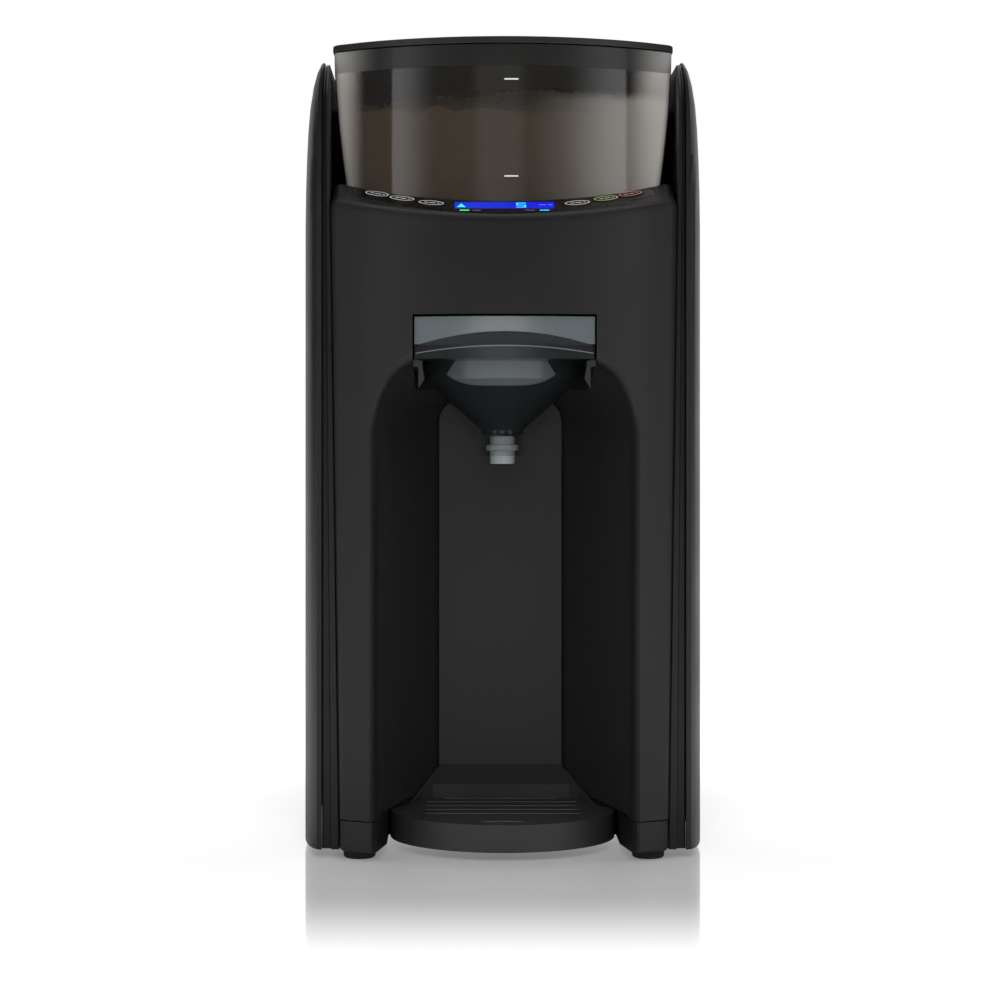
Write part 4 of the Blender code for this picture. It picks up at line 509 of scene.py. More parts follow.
half_low = housing_half(HOUSING_LOW)
rim_plan = housing_plan(HALF_HIGH, RIM_INSET)
rings = [[(x, y, z) for x, y in housing_plan(half_low, inset)]
         for inset, z in ((0.0004, HOUSING_LOW), (0.0001, HOUSING_LOW + 0.0001), (0, HOUSING_LOW + 0.0004))]
for step in range(11):
    turn = math.pi / 2 * step / 10
    ring = housing_plan(HALF_HIGH, RIM_INSET * (1 - math.cos(turn)))
    drop = RIM_DROP * (1 - math.sin(turn))
    rings.append([(x, y, deck_height(top[1]) - drop) for (x, y), top in zip(ring, rim_plan)])
housing = loft("front_housing_skin", rings)
under = DECK_THICK / math.cos(math.atan(DECK_SLOPE))
rear = HOUSING_REAR + PAST
low_ring = [(x, y, HOUSING_LOW - PAST) for x, y in housing_plan(half_low, HOUSING_WALL, rear)]
high_ring = [(x, y, deck_height(y) - under) for x, y in housing_plan(HALF_HIGH, HOUSING_WALL, rear)]
core = loft("housing_core", [low_ring, high_ring])
boolean(core, [level_block("core_level", 0.292), bay_hollow("bay_wall", HOUSING_WALL),
               pocket_hollow("pocket_wall", HOUSING_WALL)])
KEY_SEATS = {
    "key_outer_left": (-0.0552, -0.1153, 0.45),
    "key_middle_left": (-0.0442, -0.1213, 0.36),
    "key_inner_left": (-0.0315, -0.1272, 0.27),
    "key_inner_right": (0.0315, -0.1272, -0.27),
    "key_middle_right": (0.0442, -0.1213, -0.36),
    "key_outer_right": (0.0552, -0.1153, -0.45),
}
KEY_LONG, KEY_WIDE, KEY_CLEAR, STEM_WAY = 0.0122, 0.0062, 0.00025, 0.0031
WINDOWS = ((0, -0.1293, 0.0432, 0.0086), (-0.0171, -0.13565, 0.0044, 0.0016),
           (0.0171, -0.13565, 0.0044, 0.0016))


def deck_openings(key_floor, stem_floor=None):
    """Cutters for the keys' ways and stems, each down to its floor, and for the three windows."""
    made = []
    for key, (x, y, turn) in KEY_SEATS.items():
        way = deck_oval(x, y, turn, KEY_LONG + KEY_CLEAR * 2, KEY_WIDE + KEY_CLEAR * 2)
        made.append(deck_prism(key + "_way", way, key_floor, PAST))
        if stem_floor:
            made.append(deck_prism(key + "_stem", deck_oval(x, y, 0, STEM_WAY, STEM_WAY, 24), stem_floor, 0))
    for number, window in enumerate(WINDOWS):
        made.append(deck_prism(f"window_{number}", deck_box(*window), -PAST, PAST))
    return made


def axes(tree, place):
    """A place's or a direction's parts along X, Y and Z, each by its name."""
    return add(tree, "ShaderNodeSeparateXYZ", None, None, {0: place}).outputs


def span(tree, value, low, high, to_low=0.0, to_high=1.0):
    """A soft step of a value between two places."""
    values = {"From Min": low, "From Max": high, "To Min": to_low, "To Max": to_high}
    step = add(tree, "ShaderNodeMapRange", {"interpolation_type": "SMOOTHSTEP"}, values, {"Value": value})
    return step.outputs["Result"]


cutters = [level_block("deck_level", 0.2945), core, bay_hollow("bay"), pocket_hollow("pocket")]
WELL_LEVELS = (0.238, 0.2651, 0.2743, 0.2835, 0.2927, 0.3081, 0.3306, OVER_ALL)
cutters.append(loft("well", [bin_ring(z, WELL_CLEAR) for z in WELL_LEVELS]))
cutters.append(deck_prism("recess", crescent(CLEAR), -0.0019, PAST))
cutters.append(cylinder("chute", 0, FUNNEL_AT, CHUTE_RADIUS, POCKET_HIGH - PAST, CHUTE_TOP))
boolean(housing, cutters + deck_openings(-0.0026, -0.0102))
even_normals(housing)
# The shell's satin black; inside the bay its colour is painted paler, painted light that lifts the shade
# there.
BAY_LIGHT_DEPTH, BAY_LIGHT_TOP = (0.003, 0.014), (0.225, 0.205)
bay_abs = moulded_plastic("black_abs_with_painted_bay_light", "#181818", "#1c1c1c", 0.42, 0.55, 0.02)
tree = bay_abs.node_tree
shader = next(node for node in tree.nodes if node.type == "BSDF_PRINCIPLED")
plain = shader.inputs["Base Color"].links[0].from_socket
here = axes(tree, add(tree, "ShaderNodeTexCoord").outputs["Object"])
bow = sums(tree, "MULTIPLY", here["X"], here["X"])
bow = sums(tree, "DIVIDE", bow, 2 * FACE_BOW)
depth = sums(tree, "SUBTRACT", sums(tree, "SUBTRACT", here["Y"], FACE_Y), bow)
# Painted light: the colour is tinted paler inside the bay to lift its shade.
inside = sums(tree, "MULTIPLY", span(tree, depth, *BAY_LIGHT_DEPTH), span(tree, here["Z"], *BAY_LIGHT_TOP))
tint = add(tree, "ShaderNodeMix", {"data_type": "RGBA"}, None, {"Factor": inside, "A": plain})
tint.inputs["B"].default_value = rgba("#2e2e2e")
tree.links.new(tint.outputs["Result"], shader.inputs["Base Color"])
finish(housing, "front_housing", bay_abs)

# Back panel of the bay
# A separate flat ABS moulding, clipped in behind the bay. It is a slightly lighter grey than the shell,
# so that the bay's depth shows.
# A dry, coarse grain keeps it an even dark grey with no highlight.
dry_abs = moulded_plastic("dry_grained_abs", "#333333", "#393939", 0.55, 0.7, 0.03)
from_cad("bay_back_panel", dry_abs, 0.4)

# Side covers
# Two wide outer shells in satin ABS that wrap from the front to the back and stand up beside
# the container as arms. Their front edges roll inwards to the dark groove.
from_cad("side_cover_left", black_abs, 0.4)
from_cad("side_cover_right", black_abs, 0.4)

# Side strips
# The inner walls of the arms, in a smoother satin black; their front edges show beside the groove.
# Their outer faces are set flush against the covers' inner faces.
# Smoother than the shell, so that it draws one thin bright line down each arm.
strip_abs = moulded_plastic("satin_strip_abs", "#161616", "#191919", 0.34, 0.5, 0.01)
STRIP_FACE, STRIP_FLUSH = 0.0788, 0.07924
for part in ("side_strip_left", "side_strip_right"):
    strip = from_cad(part, strip_abs, 0.4)
    for vertex in strip.data.vertices:
        if abs(vertex.co.x) > STRIP_FACE:
            vertex.co.x = math.copysign(STRIP_FLUSH, vertex.co.x)

# Rear housing, inlet and valve seat
# The bent rear moulding: top cover, bulkhead, shelf for the tank, and the rear wall with its vents.
# The frame, the gear cover, the seat, the inlet and the pump are ABS too, left plain where nobody looks.
# As it leaves the tool: a plain grey-black with a soft sheen.
inner_abs = moulded_plastic("plain_inner_abs", "#191919", "#1c1c1c", 0.5, 0.9, 0.02)
from_cad("rear_housing", black_abs, 0.4)
for part in ("mid_frame", "gear_cover", "valve_seat", "mains_inlet", "water_pump"):
    from_cad(part, inner_abs, 0.3)

# Dosing drive
# Gears, dosing wheel and the tank's valve, moulded in natural acetal. The motor's can and the heater's
# vessel are drawn in steel, and the lid's hinge pin is a cut length of steel rod.
# Undyed acetal is waxy: bright, with a soft broad highlight.
acetal = moulded_plastic("natural_acetal", "#d9d7cf", "#e2e0d8", 0.38, 1.2, 0.01, 1.48)
# Drawing leaves fine lines round the can, which stretch its highlights.
steel, tree, place = new_material("drawn_steel")
drawn = add(tree, "ShaderNodeMapping", None, {"Scale": (40, 40, 2500)}, {"Vector": place})
sheen = remap(tree, speckle(tree, drawn.outputs["Vector"], 1, 2), 0.22, 0.38)
close(tree, principled(tree, {"Base Color": rgba("#b9bbbe"), "Metallic": 1}, {"Roughness": sheen}))
for part in ("drive_gear", "pinion", "dosing_wheel", "tank_valve"):
    from_cad(part, acetal, 0.12)
for part in ("drive_motor", "water_heater", "hinge_pin"):
    from_cad(part, steel, 0.3)

# Powder container
# Injection-moulded clear SAN with a brown smoke tint, polished inside and out; it drops into the
# housing's well. Two short level lines are printed in white on its bowed front.
BIN_LOW, BIN_FLOOR = 0.2625, 0.0026
MOUTH_AT, MOUTH_RADIUS = -0.0385, 0.0511
SMOKE, SAN_IOR = "#979089", 1.57
LIGHT_LINE, LIGHT_LINE_WAVE, LIGHT_LINE_SOFT, MILK_LEAST = 0.3285, 0.006, 0.003, 0.02
RIGHTWARD_LIGHT, LIGHT_FACING = (0.008, 0.062, 0.0, 0.2), (0.25, 0.6)
RIGHT_END_LIGHT, LEFT_END_LIGHT = (0.054, 0.0745, 0.0, 0.8), (-0.0605, -0.0745, 0.0, 0.75)
BAND_LEVEL, BAND_SHARE, BAND_REFLECTION_ENDS = (0.3436, 0.3438), 0.85, (0.054, 0.076)


def layered(tree, share, under, over):
    """Two surfaces mixed; the share of the second is a number or a socket."""
    made = add(tree, "ShaderNodeMixShader", None, None, {1: under, 2: over})
    if isinstance(share, float):
        made.inputs[0].default_value = share
    else:
        tree.links.new(share, made.inputs[0])
    return made.outputs["Shader"]


def close_clear(tree, surface, colour):
    """Ends a see-through material's tree: lamps shine through it by its tint."""
    path = add(tree, "ShaderNodeLightPath")
    passing = add(tree, "ShaderNodeBsdfTransparent", None, {"Color": rgba(colour)})
    close(tree, layered(tree, path.outputs["Is Shadow Ray"], surface, passing.outputs["BSDF"]))


def clear_plastic(name, colour, roughness, ior, milk, milk_share, edge_share=0.0):
    """A see-through plastic with a tint. A milky share of it scatters the light, as a pigmented polymer
    does, and that share can grow to another where the wall is seen at a graze."""
    material, tree, place = new_material(name)
    gloss = remap(tree, speckle(tree, place, 0.02, 2), roughness * 0.7, roughness * 1.3)
    clear = principled(tree, {"Base Color": rgba(colour), "IOR": ior, "Transmission Weight": 1},
                       {"Roughness": gloss})
    cloud = principled(tree, {"Base Color": rgba(milk), "IOR": ior}, {"Roughness": gloss})
    share = milk_share
    if edge_share:
        graze = add(tree, "ShaderNodeLayerWeight", None, {"Blend": 0.5})
        share = span(tree, graze.outputs["Facing"], 0.55, 1.0, milk_share, edge_share)
    close_clear(tree, layered(tree, share, clear, cloud), colour)
    return material


def print_ink(name, colour, glow=0.0):
    """Screen-printed ink: matt and opaque, a little uneven in gloss."""
    material, tree, place = new_material(name)
    gloss = remap(tree, speckle(tree, place, 0.0006, 2), 0.45, 0.65)
    close(tree, principled(tree, {"Base Color": rgba(colour), "Emission Color": rgba(colour),
                                  "Emission Strength": glow}, {"Roughness": gloss}))
    return material


# Polished SAN, clear in its middle, with a faint milky share all over. A pale layer painted in towards
# the ends of the front, and towards the right below the powder's level, is painted light on the powder
# seen through the wall. The rim's band is satin, and it turns paler to the ends: a painted reflection.
dusty_san, tree, place = new_material("smoked_san_with_painted_light")
here = axes(tree, place)
sideways, upwards = here["X"], here["Z"]
drift = speckle(tree, place, 0.018, 4)
# Painted light: a pale layer below the powder's level towards the right, and at the ends of the front.
powder_light_line = sums(tree, "MULTIPLY_ADD", drift, LIGHT_LINE_WAVE, LIGHT_LINE)
below = span(tree, sums(tree, "SUBTRACT", powder_light_line, upwards), -LIGHT_LINE_SOFT, LIGHT_LINE_SOFT)
spread = sums(tree, "MULTIPLY", span(tree, sideways, *RIGHTWARD_LIGHT), below)
right_end, left_end = span(tree, sideways, *RIGHT_END_LIGHT), span(tree, sideways, *LEFT_END_LIGHT)
facing = axes(tree, add(tree, "ShaderNodeTexCoord").outputs["Normal"])
on_front = span(tree, sums(tree, "ABSOLUTE", facing["Y"]), *LIGHT_FACING)
painted_light_share = sums(tree, "MULTIPLY_ADD", sums(tree, "ADD", right_end, left_end), on_front, spread)
painted_light_share = sums(tree, "ADD", painted_light_share, MILK_LEAST)
gloss = remap(tree, drift, 0.03, 0.07)
wall = principled(tree, {"Base Color": rgba(SMOKE), "IOR": SAN_IOR, "Transmission Weight": 1},
                  {"Roughness": gloss})
painted_light_layer = principled(tree, {"Base Color": rgba("#dcd8d2"), "IOR": SAN_IOR}, {"Roughness": gloss})
outward = sums(tree, "ABSOLUTE", sideways)
# Painted reflection: the dark band is tinted paler towards its ends.
rim_tint_with_painted_reflection = blend(tree, span(tree, outward, *BAND_REFLECTION_ENDS), "#232221", "#8c8a88")
satin = principled(tree, {"IOR": SAN_IOR, "Roughness": 0.32}, {"Base Color": rim_tint_with_painted_reflection})
at_rim = sums(tree, "MULTIPLY", span(tree, upwards, *BAND_LEVEL), BAND_SHARE)
close_clear(tree, layered(tree, at_rim, layered(tree, painted_light_share, wall, painted_light_layer), satin), SMOKE)
wall_levels = [BIN_LOW + BIN_FLOOR + (BIN_RIM_Z - BIN_LOW - BIN_FLOOR) * k / 20 for k in range(20)]
outer = ((BIN_LOW, -0.0032), (BIN_LOW + 0.0008, -0.0026), *((z, 0.0) for z in wall_levels),
         (BIN_RIM_Z - 0.0005, 0.0), (BIN_RIM_Z - 0.00015, -0.00015), (BIN_RIM_Z, -0.0005))
inner = ((BIN_RIM_Z, 0.0005), (BIN_RIM_Z - 0.00015, 0.00015), (BIN_RIM_Z - 0.0005, 0.0),
         *((z, 0.0) for z in reversed(wall_levels[1:])))
rings = [bin_ring(z, grow) for z, grow in outer] + [bin_ring(z, -BIN_WALL + grow) for z, grow in inner]
rings.append(bin_ring(BIN_LOW + BIN_FLOOR, -BIN_WALL * 2))
container = loft("powder_container_skin", rings)
boolean(container, [cylinder("bin_mouth", 0, MOUTH_AT, MOUTH_RADIUS, BIN_LOW - PAST,
                             BIN_LOW + BIN_FLOOR + PAST, 96)])
even_normals(container)
finish(container, "powder_container", dusty_san)


def bin_front(x, grow=0.0):
    """How far forward the container's bowed front lies at a place across it."""
    return BIN_FRONT + BIN_BOW - math.sqrt((BIN_BOW + grow) ** 2 - x**2)


def patch(name, rows):
    """An open surface from rows of points."""
    wide = len(rows[0])
    faces = [(r * wide + i, r * wide + i + 1, (r + 1) * wide + i + 1, (r + 1) * wide + i)
             for r in range(len(rows) - 1) for i in range(wide - 1)]
    return mesh_object(name, [p for row in rows for p in row], faces)


def face_towards(made, direction):
    """Turns an open surface's faces to one side."""
    work = bmesh.new()
    work.from_mesh(made.data)
    bmesh.ops.reverse_faces(work, faces=[f for f in work.faces if f.normal.dot(Vector(direction)) < 0])
    work.to_mesh(made.data)
    work.free()
    return made


# Thin white ink that stays matt on the polished wall.
white_ink = print_ink("white_screen_ink", "#e8e8e6")
LINE_HEIGHTS, LINE_HALF, LINE_LIFT = (0.3378, 0.2958), 0.00032, 0.00003
LINE_PLACES = (0.0001, 0.0017, 0.0033, 0.0049, 0.0062)
for number, line_z in enumerate(LINE_HEIGHTS):
    rows = [[(x, bin_front(x, LINE_LIFT), line_z + lift) for x in LINE_PLACES]
            for lift in (-LINE_HALF, LINE_HALF)]
    mark = face_towards(patch(f"level_line_{number}", rows), (0, -1, 0))
    mark.data.materials.append(white_ink)
    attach(mark, "container")

# Powder
# Milk powder, heaped towards the middle as it falls from a scoop, with small lumps on its surface.
# It keeps a hair's breadth off the container's walls and lies above the stirring arms.
POWDER_LOW, POWDER_RIM, POWDER_GAP, POWDER_CORNER = 0.2748, 0.325, 0.0003, 0.016
POWDER_MIDDLE, POWDER_LEVELS, POWDER_SHRINKS = -0.05, 12, 46
HEAP_LEVEL, HEAP_TALL, HEAP_FRONT, HEAP_DEPTH, HEAP_AT, HEAP_WIDE = 0.3252, 0.0125, -0.118, 0.05, 0.016, 0.042


def powder_outline(z, steps=60):
    """The container's inside in plan: the bowed front, then straight sides and a flat back."""
    half = bin_half(z) - BIN_WALL - POWDER_GAP
    points = []
    for step in range(steps + 1):
        x = half * (2 * step / steps - 1)
        points.append((x, bin_front(x, -BIN_WALL - POWDER_GAP)))
    rear, corner = BIN_REAR - BIN_WALL - POWDER_GAP, POWDER_CORNER
    for step in range(1, 13):
        points.append((half, points[steps][1] + (rear - corner - points[steps][1]) * step / 12))
    for step in range(1, 9):
        turn = math.pi / 2 * step / 8
        points.append((half - corner * (1 - math.cos(turn)), rear - corner * (1 - math.sin(turn))))
    for step in range(1, 24):
        points.append(((half - corner) * (1 - 2 * step / 24), rear))
    for step in range(9):
        turn = math.pi / 2 * (1 - step / 8)
        points.append((-half + corner * (1 - math.cos(turn)), rear - corner * (1 - math.sin(turn))))
    for step in range(1, 12):
        points.append((-half, rear - corner + (points[0][1] - rear + corner) * step / 12))
    return points


def powder_height(x, y):
    """The powder's surface: a low front edge, a heap behind it, lumps of a few millimetres and a crumb."""
    back = min(max((y - HEAP_FRONT) / HEAP_DEPTH, 0), 1)
    swell = 0.62 + 0.5 * math.exp(-((x - HEAP_AT) / HEAP_WIDE) ** 2)
    heap = HEAP_TALL * back * back * (3 - 2 * back) * swell
    place = Vector((x, y, 0.37))
    lumps = 0.0026 * noise.noise(place / 0.016) + 0.0013 * noise.noise(place / 0.0062)
    crumb = 0.0008 * noise.noise(place / 0.0021) + 0.0004 * noise.noise(place / 0.0009)
    return HEAP_LEVEL + heap + lumps + crumb


rim = powder_outline(POWDER_RIM)
count = len(rim)
points, faces = [], []
for level in range(POWDER_LEVELS + 1):
    share = level / POWDER_LEVELS
    for (x, y) in powder_outline(POWDER_LOW + (POWDER_RIM - POWDER_LOW) * share):
        points.append((x, y, POWDER_LOW + (powder_height(x, y) - POWDER_LOW) * share))
for level in range(POWDER_LEVELS):
    low, high = level * count, (level + 1) * count
    for i in range(count):
        j = (i + 1) % count
        faces.append((low + i, low + j, high + j, high + i))
start = POWDER_LEVELS * count
for ring in range(1, POWDER_SHRINKS):
    share = 1 - ring / POWDER_SHRINKS
    for (x, y) in rim:
        px, py = x * share, POWDER_MIDDLE + (y - POWDER_MIDDLE) * share
        points.append((px, py, powder_height(px, py)))
    low, high = start + (ring - 1) * count, start + ring * count
    for i in range(count):
        j = (i + 1) % count
        faces.append((low + i, low + j, high + j, high + i))
points.append((0, POWDER_MIDDLE, powder_height(0, POWDER_MIDDLE)))
last = start + (POWDER_SHRINKS - 1) * count
faces += [(last + i, last + (i + 1) % count, len(points) - 1) for i in range(count)]
faces.append(tuple(range(count)))
powder = mesh_object("powder_fill", points, faces, 60)
# Cream-coloured and wholly matt; clumps vary its tint and a fine grain roughens it.
milk_powder, tree, place = new_material("milk_powder")
clump, grain = speckle(tree, place, 0.006, 6, 0.6), speckle(tree, place, 0.0006, 3)
rise = sums(tree, "MULTIPLY_ADD", grain, 0.3, clump)
bump = add(tree, "ShaderNodeBump", None, {"Strength": 0.6, "Distance": 0.0009}, {"Height": rise})
tint = blend(tree, clump, "#d0c6b4", "#e9e1d0")
close(tree, principled(tree, {"Roughness": 0.95, "IOR": 1.35},
                       {"Base Color": tint, "Normal": bump.outputs["Normal"]}))
powder.data.materials.append(milk_powder)
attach(powder, "container")

# Powder crumbs
# Loose crumbs of the same powder, a millimetre or so across, that lie on the heap's surface.
inner = [points[start + ring * count + i] for ring in range(2, POWDER_SHRINKS) for i in range(count)]
bed = []
for ring in range(POWDER_SHRINKS - 3):
    low, high = ring * count, (ring + 1) * count
    bed += [(low + i, low + (i + 1) % count, high + (i + 1) % count, high + i) for i in range(count)]
crumb_bed = mesh_object("crumb_bed", inner, bed, 60)
tree, given = nodes_tree("powder_crumbs", (("Crumb radius", "Float"), ("Crumbs per area", "Float"),
                                           ("Roughness", "Float"), ("Seed", "Int")))
spots = add(tree, "GeometryNodeDistributePointsOnFaces", None, None,
            {"Mesh": given["Geometry"], "Density": given["Crumbs per area"], "Seed": given["Seed"]})
ball = add(tree, "GeometryNodeMeshIcoSphere", None, {"Subdivisions": 2}, {"Radius": given["Crumb radius"]})
size = add(tree, "FunctionNodeRandomValue", {"data_type": "FLOAT"}, None, {"Seed": given["Seed"]})
size.inputs[2].default_value = 0.35
size.inputs[3].default_value = 1.0
crumbs = add(tree, "GeometryNodeInstanceOnPoints", None, None,
             {"Points": spots.outputs["Points"], "Instance": ball.outputs["Mesh"], "Scale": size.outputs[1]})
rough = add(tree, "ShaderNodeTexNoise", None, {"Scale": 1 / 0.0009, "Detail": 2})
centred = add(tree, "ShaderNodeVectorMath", {"operation": "SUBTRACT"}, {1: (0.5, 0.5, 0.5)},
              {0: rough.outputs["Color"]})
push = add(tree, "ShaderNodeVectorMath", {"operation": "SCALE"}, None,
           {0: centred.outputs["Vector"], "Scale": given["Roughness"]})
end_tree(tree, crumbs.outputs["Instances"], milk_powder, push.outputs["Vector"])
crumbs = grown("powder_crumbs", crumb_bed, tree,
               {"Crumb radius": 0.0011, "Crumbs per area": 90000.0, "Roughness": 0.0012, "Seed": 7})
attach(crumbs, "container")

# Water tank
# The same smoked SAN as the container, in a deeper draw; it stands on the rear shelf. Its wall turns
# milky where it is seen at a graze.
smoked_san = clear_plastic("smoked_san", SMOKE, 0.05, SAN_IOR, "#b4b0ac", 0.015, 0.5)
from_cad("water_tank", smoked_san, 0.4)

# Dosing base
# The round dish under the container, with the outlet above the funnel. It is moulded in a natural
# polypropylene that lets some light through.
# Natural polypropylene is milky and grey: shapes behind it show only as shades.
tinted_pp = clear_plastic("tinted_polypropylene", "#aeb9bd", 0.2, 1.49, "#757d80", 0.62)
from_cad("dosing_base", tinted_pp, 0.3)

# Lids
# The container's lid is a thin satin moulding with a low crown; the tank's lid is made the same way.
# A ring of clear silicone seals the container's lid.
# A satin black a little lighter than the shell, so that the lid's edge stands out.
lid_abs = moulded_plastic("satin_lid_abs", "#232323", "#282828", 0.36, 0.6, 0.015)
from_cad("powder_lid", lid_abs, 0.3)
from_cad("tank_lid", lid_abs, 0.4)
# Silicone in the mass: a soft milky grey with a dull shine.
silicone = moulded_plastic("clear_silicone", "#a2a8aa", "#adb2b4", 0.55, 1.0, 0.01, 1.41)
from_cad("lid_seal", silicone, 0.2)

# Funnel, its cover and nozzle
# The funnel is dark smoked polypropylene; its cover is a lighter, slightly milky grey that shows the
# funnel's rim behind it. The nozzle is pressed into the neck and is moulded in silicone.
BOAT_TOP, BOAT_HEAD, BOAT_FOOT, BOAT_KEEL, BOAT_FRONT = 0.2163, 0.2169, 0.2103, 0.2055, -0.0905
BOAT_AT, BOAT_HALF, BOAT_HALF_TOP, BOAT_RISE, BOAT_EDGE = -0.001, 0.0242, 0.0198, 0.0052, 0.0002
NECK_HIGH, NECK_LOW, PP_IOR, PP_MILK, NECK_MILK = 0.1850, 0.1842, 1.49, 0.8, 0.1
# Smoky and mostly milky, so that the cone reads as a dark satin shape. A boat-shaped patch on its front
# is tinted paler, a painted reflection, and the neck round the nozzle is thin enough to show it.
smoked_pp, tree, place = new_material("smoked_polypropylene")
here = axes(tree, place)
across = sums(tree, "ABSOLUTE", sums(tree, "SUBTRACT", here["X"], BOAT_AT))
flank = add(tree, "ShaderNodeMapRange", {"clamp": False},
            {"From Min": BOAT_HEAD, "From Max": BOAT_FOOT, "To Min": BOAT_HALF_TOP, "To Max": BOAT_HALF},
            {"Value": here["Z"]})
inside = sums(tree, "SUBTRACT", flank.outputs["Result"], across)
sides = remap(tree, inside, 0.0, 1.0, -BOAT_EDGE, BOAT_EDGE)
power = sums(tree, "POWER", sums(tree, "DIVIDE", across, BOAT_HALF), 4.0)
keel = sums(tree, "MULTIPLY_ADD", power, BOAT_RISE, BOAT_KEEL)
above = remap(tree, sums(tree, "SUBTRACT", here["Z"], keel), 0.0, 1.0, -BOAT_EDGE, BOAT_EDGE)
painted_boat_reflection = sums(tree, "MULTIPLY", sides, above)
painted_boat_reflection = sums(tree, "MULTIPLY", painted_boat_reflection, sums(tree, "LESS_THAN", here["Y"], BOAT_FRONT))
painted_boat_reflection = sums(tree, "MULTIPLY", painted_boat_reflection, sums(tree, "LESS_THAN", here["Z"], BOAT_TOP))
neck = remap(tree, here["Z"], 0.0, 1.0, NECK_HIGH, NECK_LOW)
gloss = remap(tree, speckle(tree, place, 0.02, 2), 0.14, 0.24)
clear = principled(tree, {"Base Color": rgba("#5a5f62"), "IOR": PP_IOR, "Transmission Weight": 1},
                   {"Roughness": gloss})
# Painted reflection: the boat-shaped patch is tinted paler than the cone.
tint = blend(tree, painted_boat_reflection, "#2a2d2f", "#6f767a")
cloud = principled(tree, {"IOR": PP_IOR}, {"Base Color": tint, "Roughness": gloss})
thin = add(tree, "ShaderNodeBsdfTransparent", None, {"Color": rgba("#fafbfb")})
thinned = layered(tree, NECK_MILK, thin.outputs["BSDF"], cloud)
close(tree, layered(tree, neck, layered(tree, PP_MILK, clear, cloud), thinned))
from_cad("funnel", smoked_pp, 0.3)
from_cad("funnel_cover", tinted_pp, 0.3)
# A lip of the funnel stands up inside the cover's arch, as smoky as the cone. A thin pale strip along
# its front is a painted highlight on the rim's edge.
lip_pp = clear_plastic("smoked_polypropylene_lip", "#45494b", 0.2, 1.49, "#292c2e", 0.9)
rim_highlight_pp = clear_plastic("painted_rim_highlight", "#9aa0a2", 0.2, 1.49, "#7d8484", 0.8)
LIP_BACK, LIP_HALF, LIP_LOW, LIP_EDGE, LIP_RISE = 0.0032, 0.0365, 0.22205, 0.0004, 0.0068
HIGHLIGHT_HALF, HIGHLIGHT_LOW, HIGHLIGHT_RISE, HIGHLIGHT_THICK = 0.0382, 0.2186, 0.0032, 0.0002


def bowed_front(x):
    """How far forward the funnel's front lies at a place across it."""
    return FACE_Y + LIP_BACK + FACE_BOW - math.sqrt(FACE_BOW**2 - x**2)


def lip_top(x):
    """The lip's arched upper edge."""
    return LIP_LOW + LIP_EDGE + LIP_RISE * (1 - (x / LIP_HALF) ** 2)


across = [LIP_HALF * (2 * k / 32 - 1) for k in range(33)]
lip = [[(x, bowed_front(x) + back, LIP_LOW) for x in across]
       + [(x, bowed_front(x) + back, lip_top(x)) for x in reversed(across)] for back in (0.0001, 0.0013)]
funnel_lip = loft("funnel_lip", lip)
funnel_lip.data.materials.append(lip_pp)
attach(funnel_lip, "funnel")
# Painted highlight: a thin pale strip along the rim's front edge.
highlight_rows = []
for x in (HIGHLIGHT_HALF * (2 * k / 48 - 1) for k in range(49)):
    y, z = bowed_front(x), HIGHLIGHT_LOW + HIGHLIGHT_RISE * (1 - (x / HIGHLIGHT_HALF) ** 2)
    front, back, low, high = y - 0.00012, y + 0.0004, z - HIGHLIGHT_THICK, z + HIGHLIGHT_THICK
    highlight_rows.append([(x, front, low), (x, back, low), (x, back, high), (x, front, high)])
funnel_rim_highlight = loft("funnel_rim_painted_highlight", highlight_rows)
funnel_rim_highlight.data.materials.append(rim_highlight_pp)
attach(funnel_rim_highlight, "funnel")


def turned(name, profile, x, y, steps=64):
    """A ring turned from a closed profile of (radius, height)."""
    wide = len(profile)
    points = [(x + r * math.cos(math.tau * k / steps), y + r * math.sin(math.tau * k / steps), z)
              for k in range(steps) for r, z in profile]
    faces = []
    for k in range(steps):
        here, there = k * wide, (k + 1) % steps * wide
        faces += [(here + i, here + (i + 1) % wide, there + (i + 1) % wide, there + i) for i in range(wide)]
    return mesh_object(name, points, faces)


nozzle_profile = [(0.0042, 0.1710), (0.0054, 0.1710), (0.0056, 0.1714), (0.0056, 0.1770), (0.0073, 0.1771),
                  (0.0073, 0.1794), (0.0056, 0.1795), (0.0056, 0.1822), (0.0053, 0.1833), (0.0048, 0.1836),
                  (0.0042, 0.1837)]
spout = turned("funnel_nozzle_skin", nozzle_profile, 0, FUNNEL_AT)
finish(spout, "funnel_nozzle", silicone)

# Funnel rails
# Two small brackets screwed under the pocket's roof, moulded in dark grey acetal.
# The acetal is smooth and a little waxy, so that only the brackets' front edges catch the light.
rail_pom = moulded_plastic("grey_acetal_rail", "#262829", "#2c2e2f", 0.4, 1.0, 0.01)
RAIL_HIGH, RAIL_OUT, RAIL_IN, RAIL_FRONT = 0.216, 0.0391, 0.0369, -0.1339
BAR_FRONT, BAR_LOW = RAIL_FRONT + 0.0009, RAIL_HIGH - 0.003
STEP_LOW, STEP_HIGH, STEP_REAR = RAIL_HIGH - 0.0032, RAIL_HIGH - 0.0004, RAIL_FRONT + 0.0042
STEP_IN, STEP_OUT = 0.0354, 0.0375


def slab(name, outline, side, inner, outer):
    """A plate cut to an outline in the side view, between two distances from the middle."""
    low, high = min(side * inner, side * outer), max(side * inner, side * outer)
    return loft(name, [[(x, y, z) for y, z in outline] for x in (low, high)])


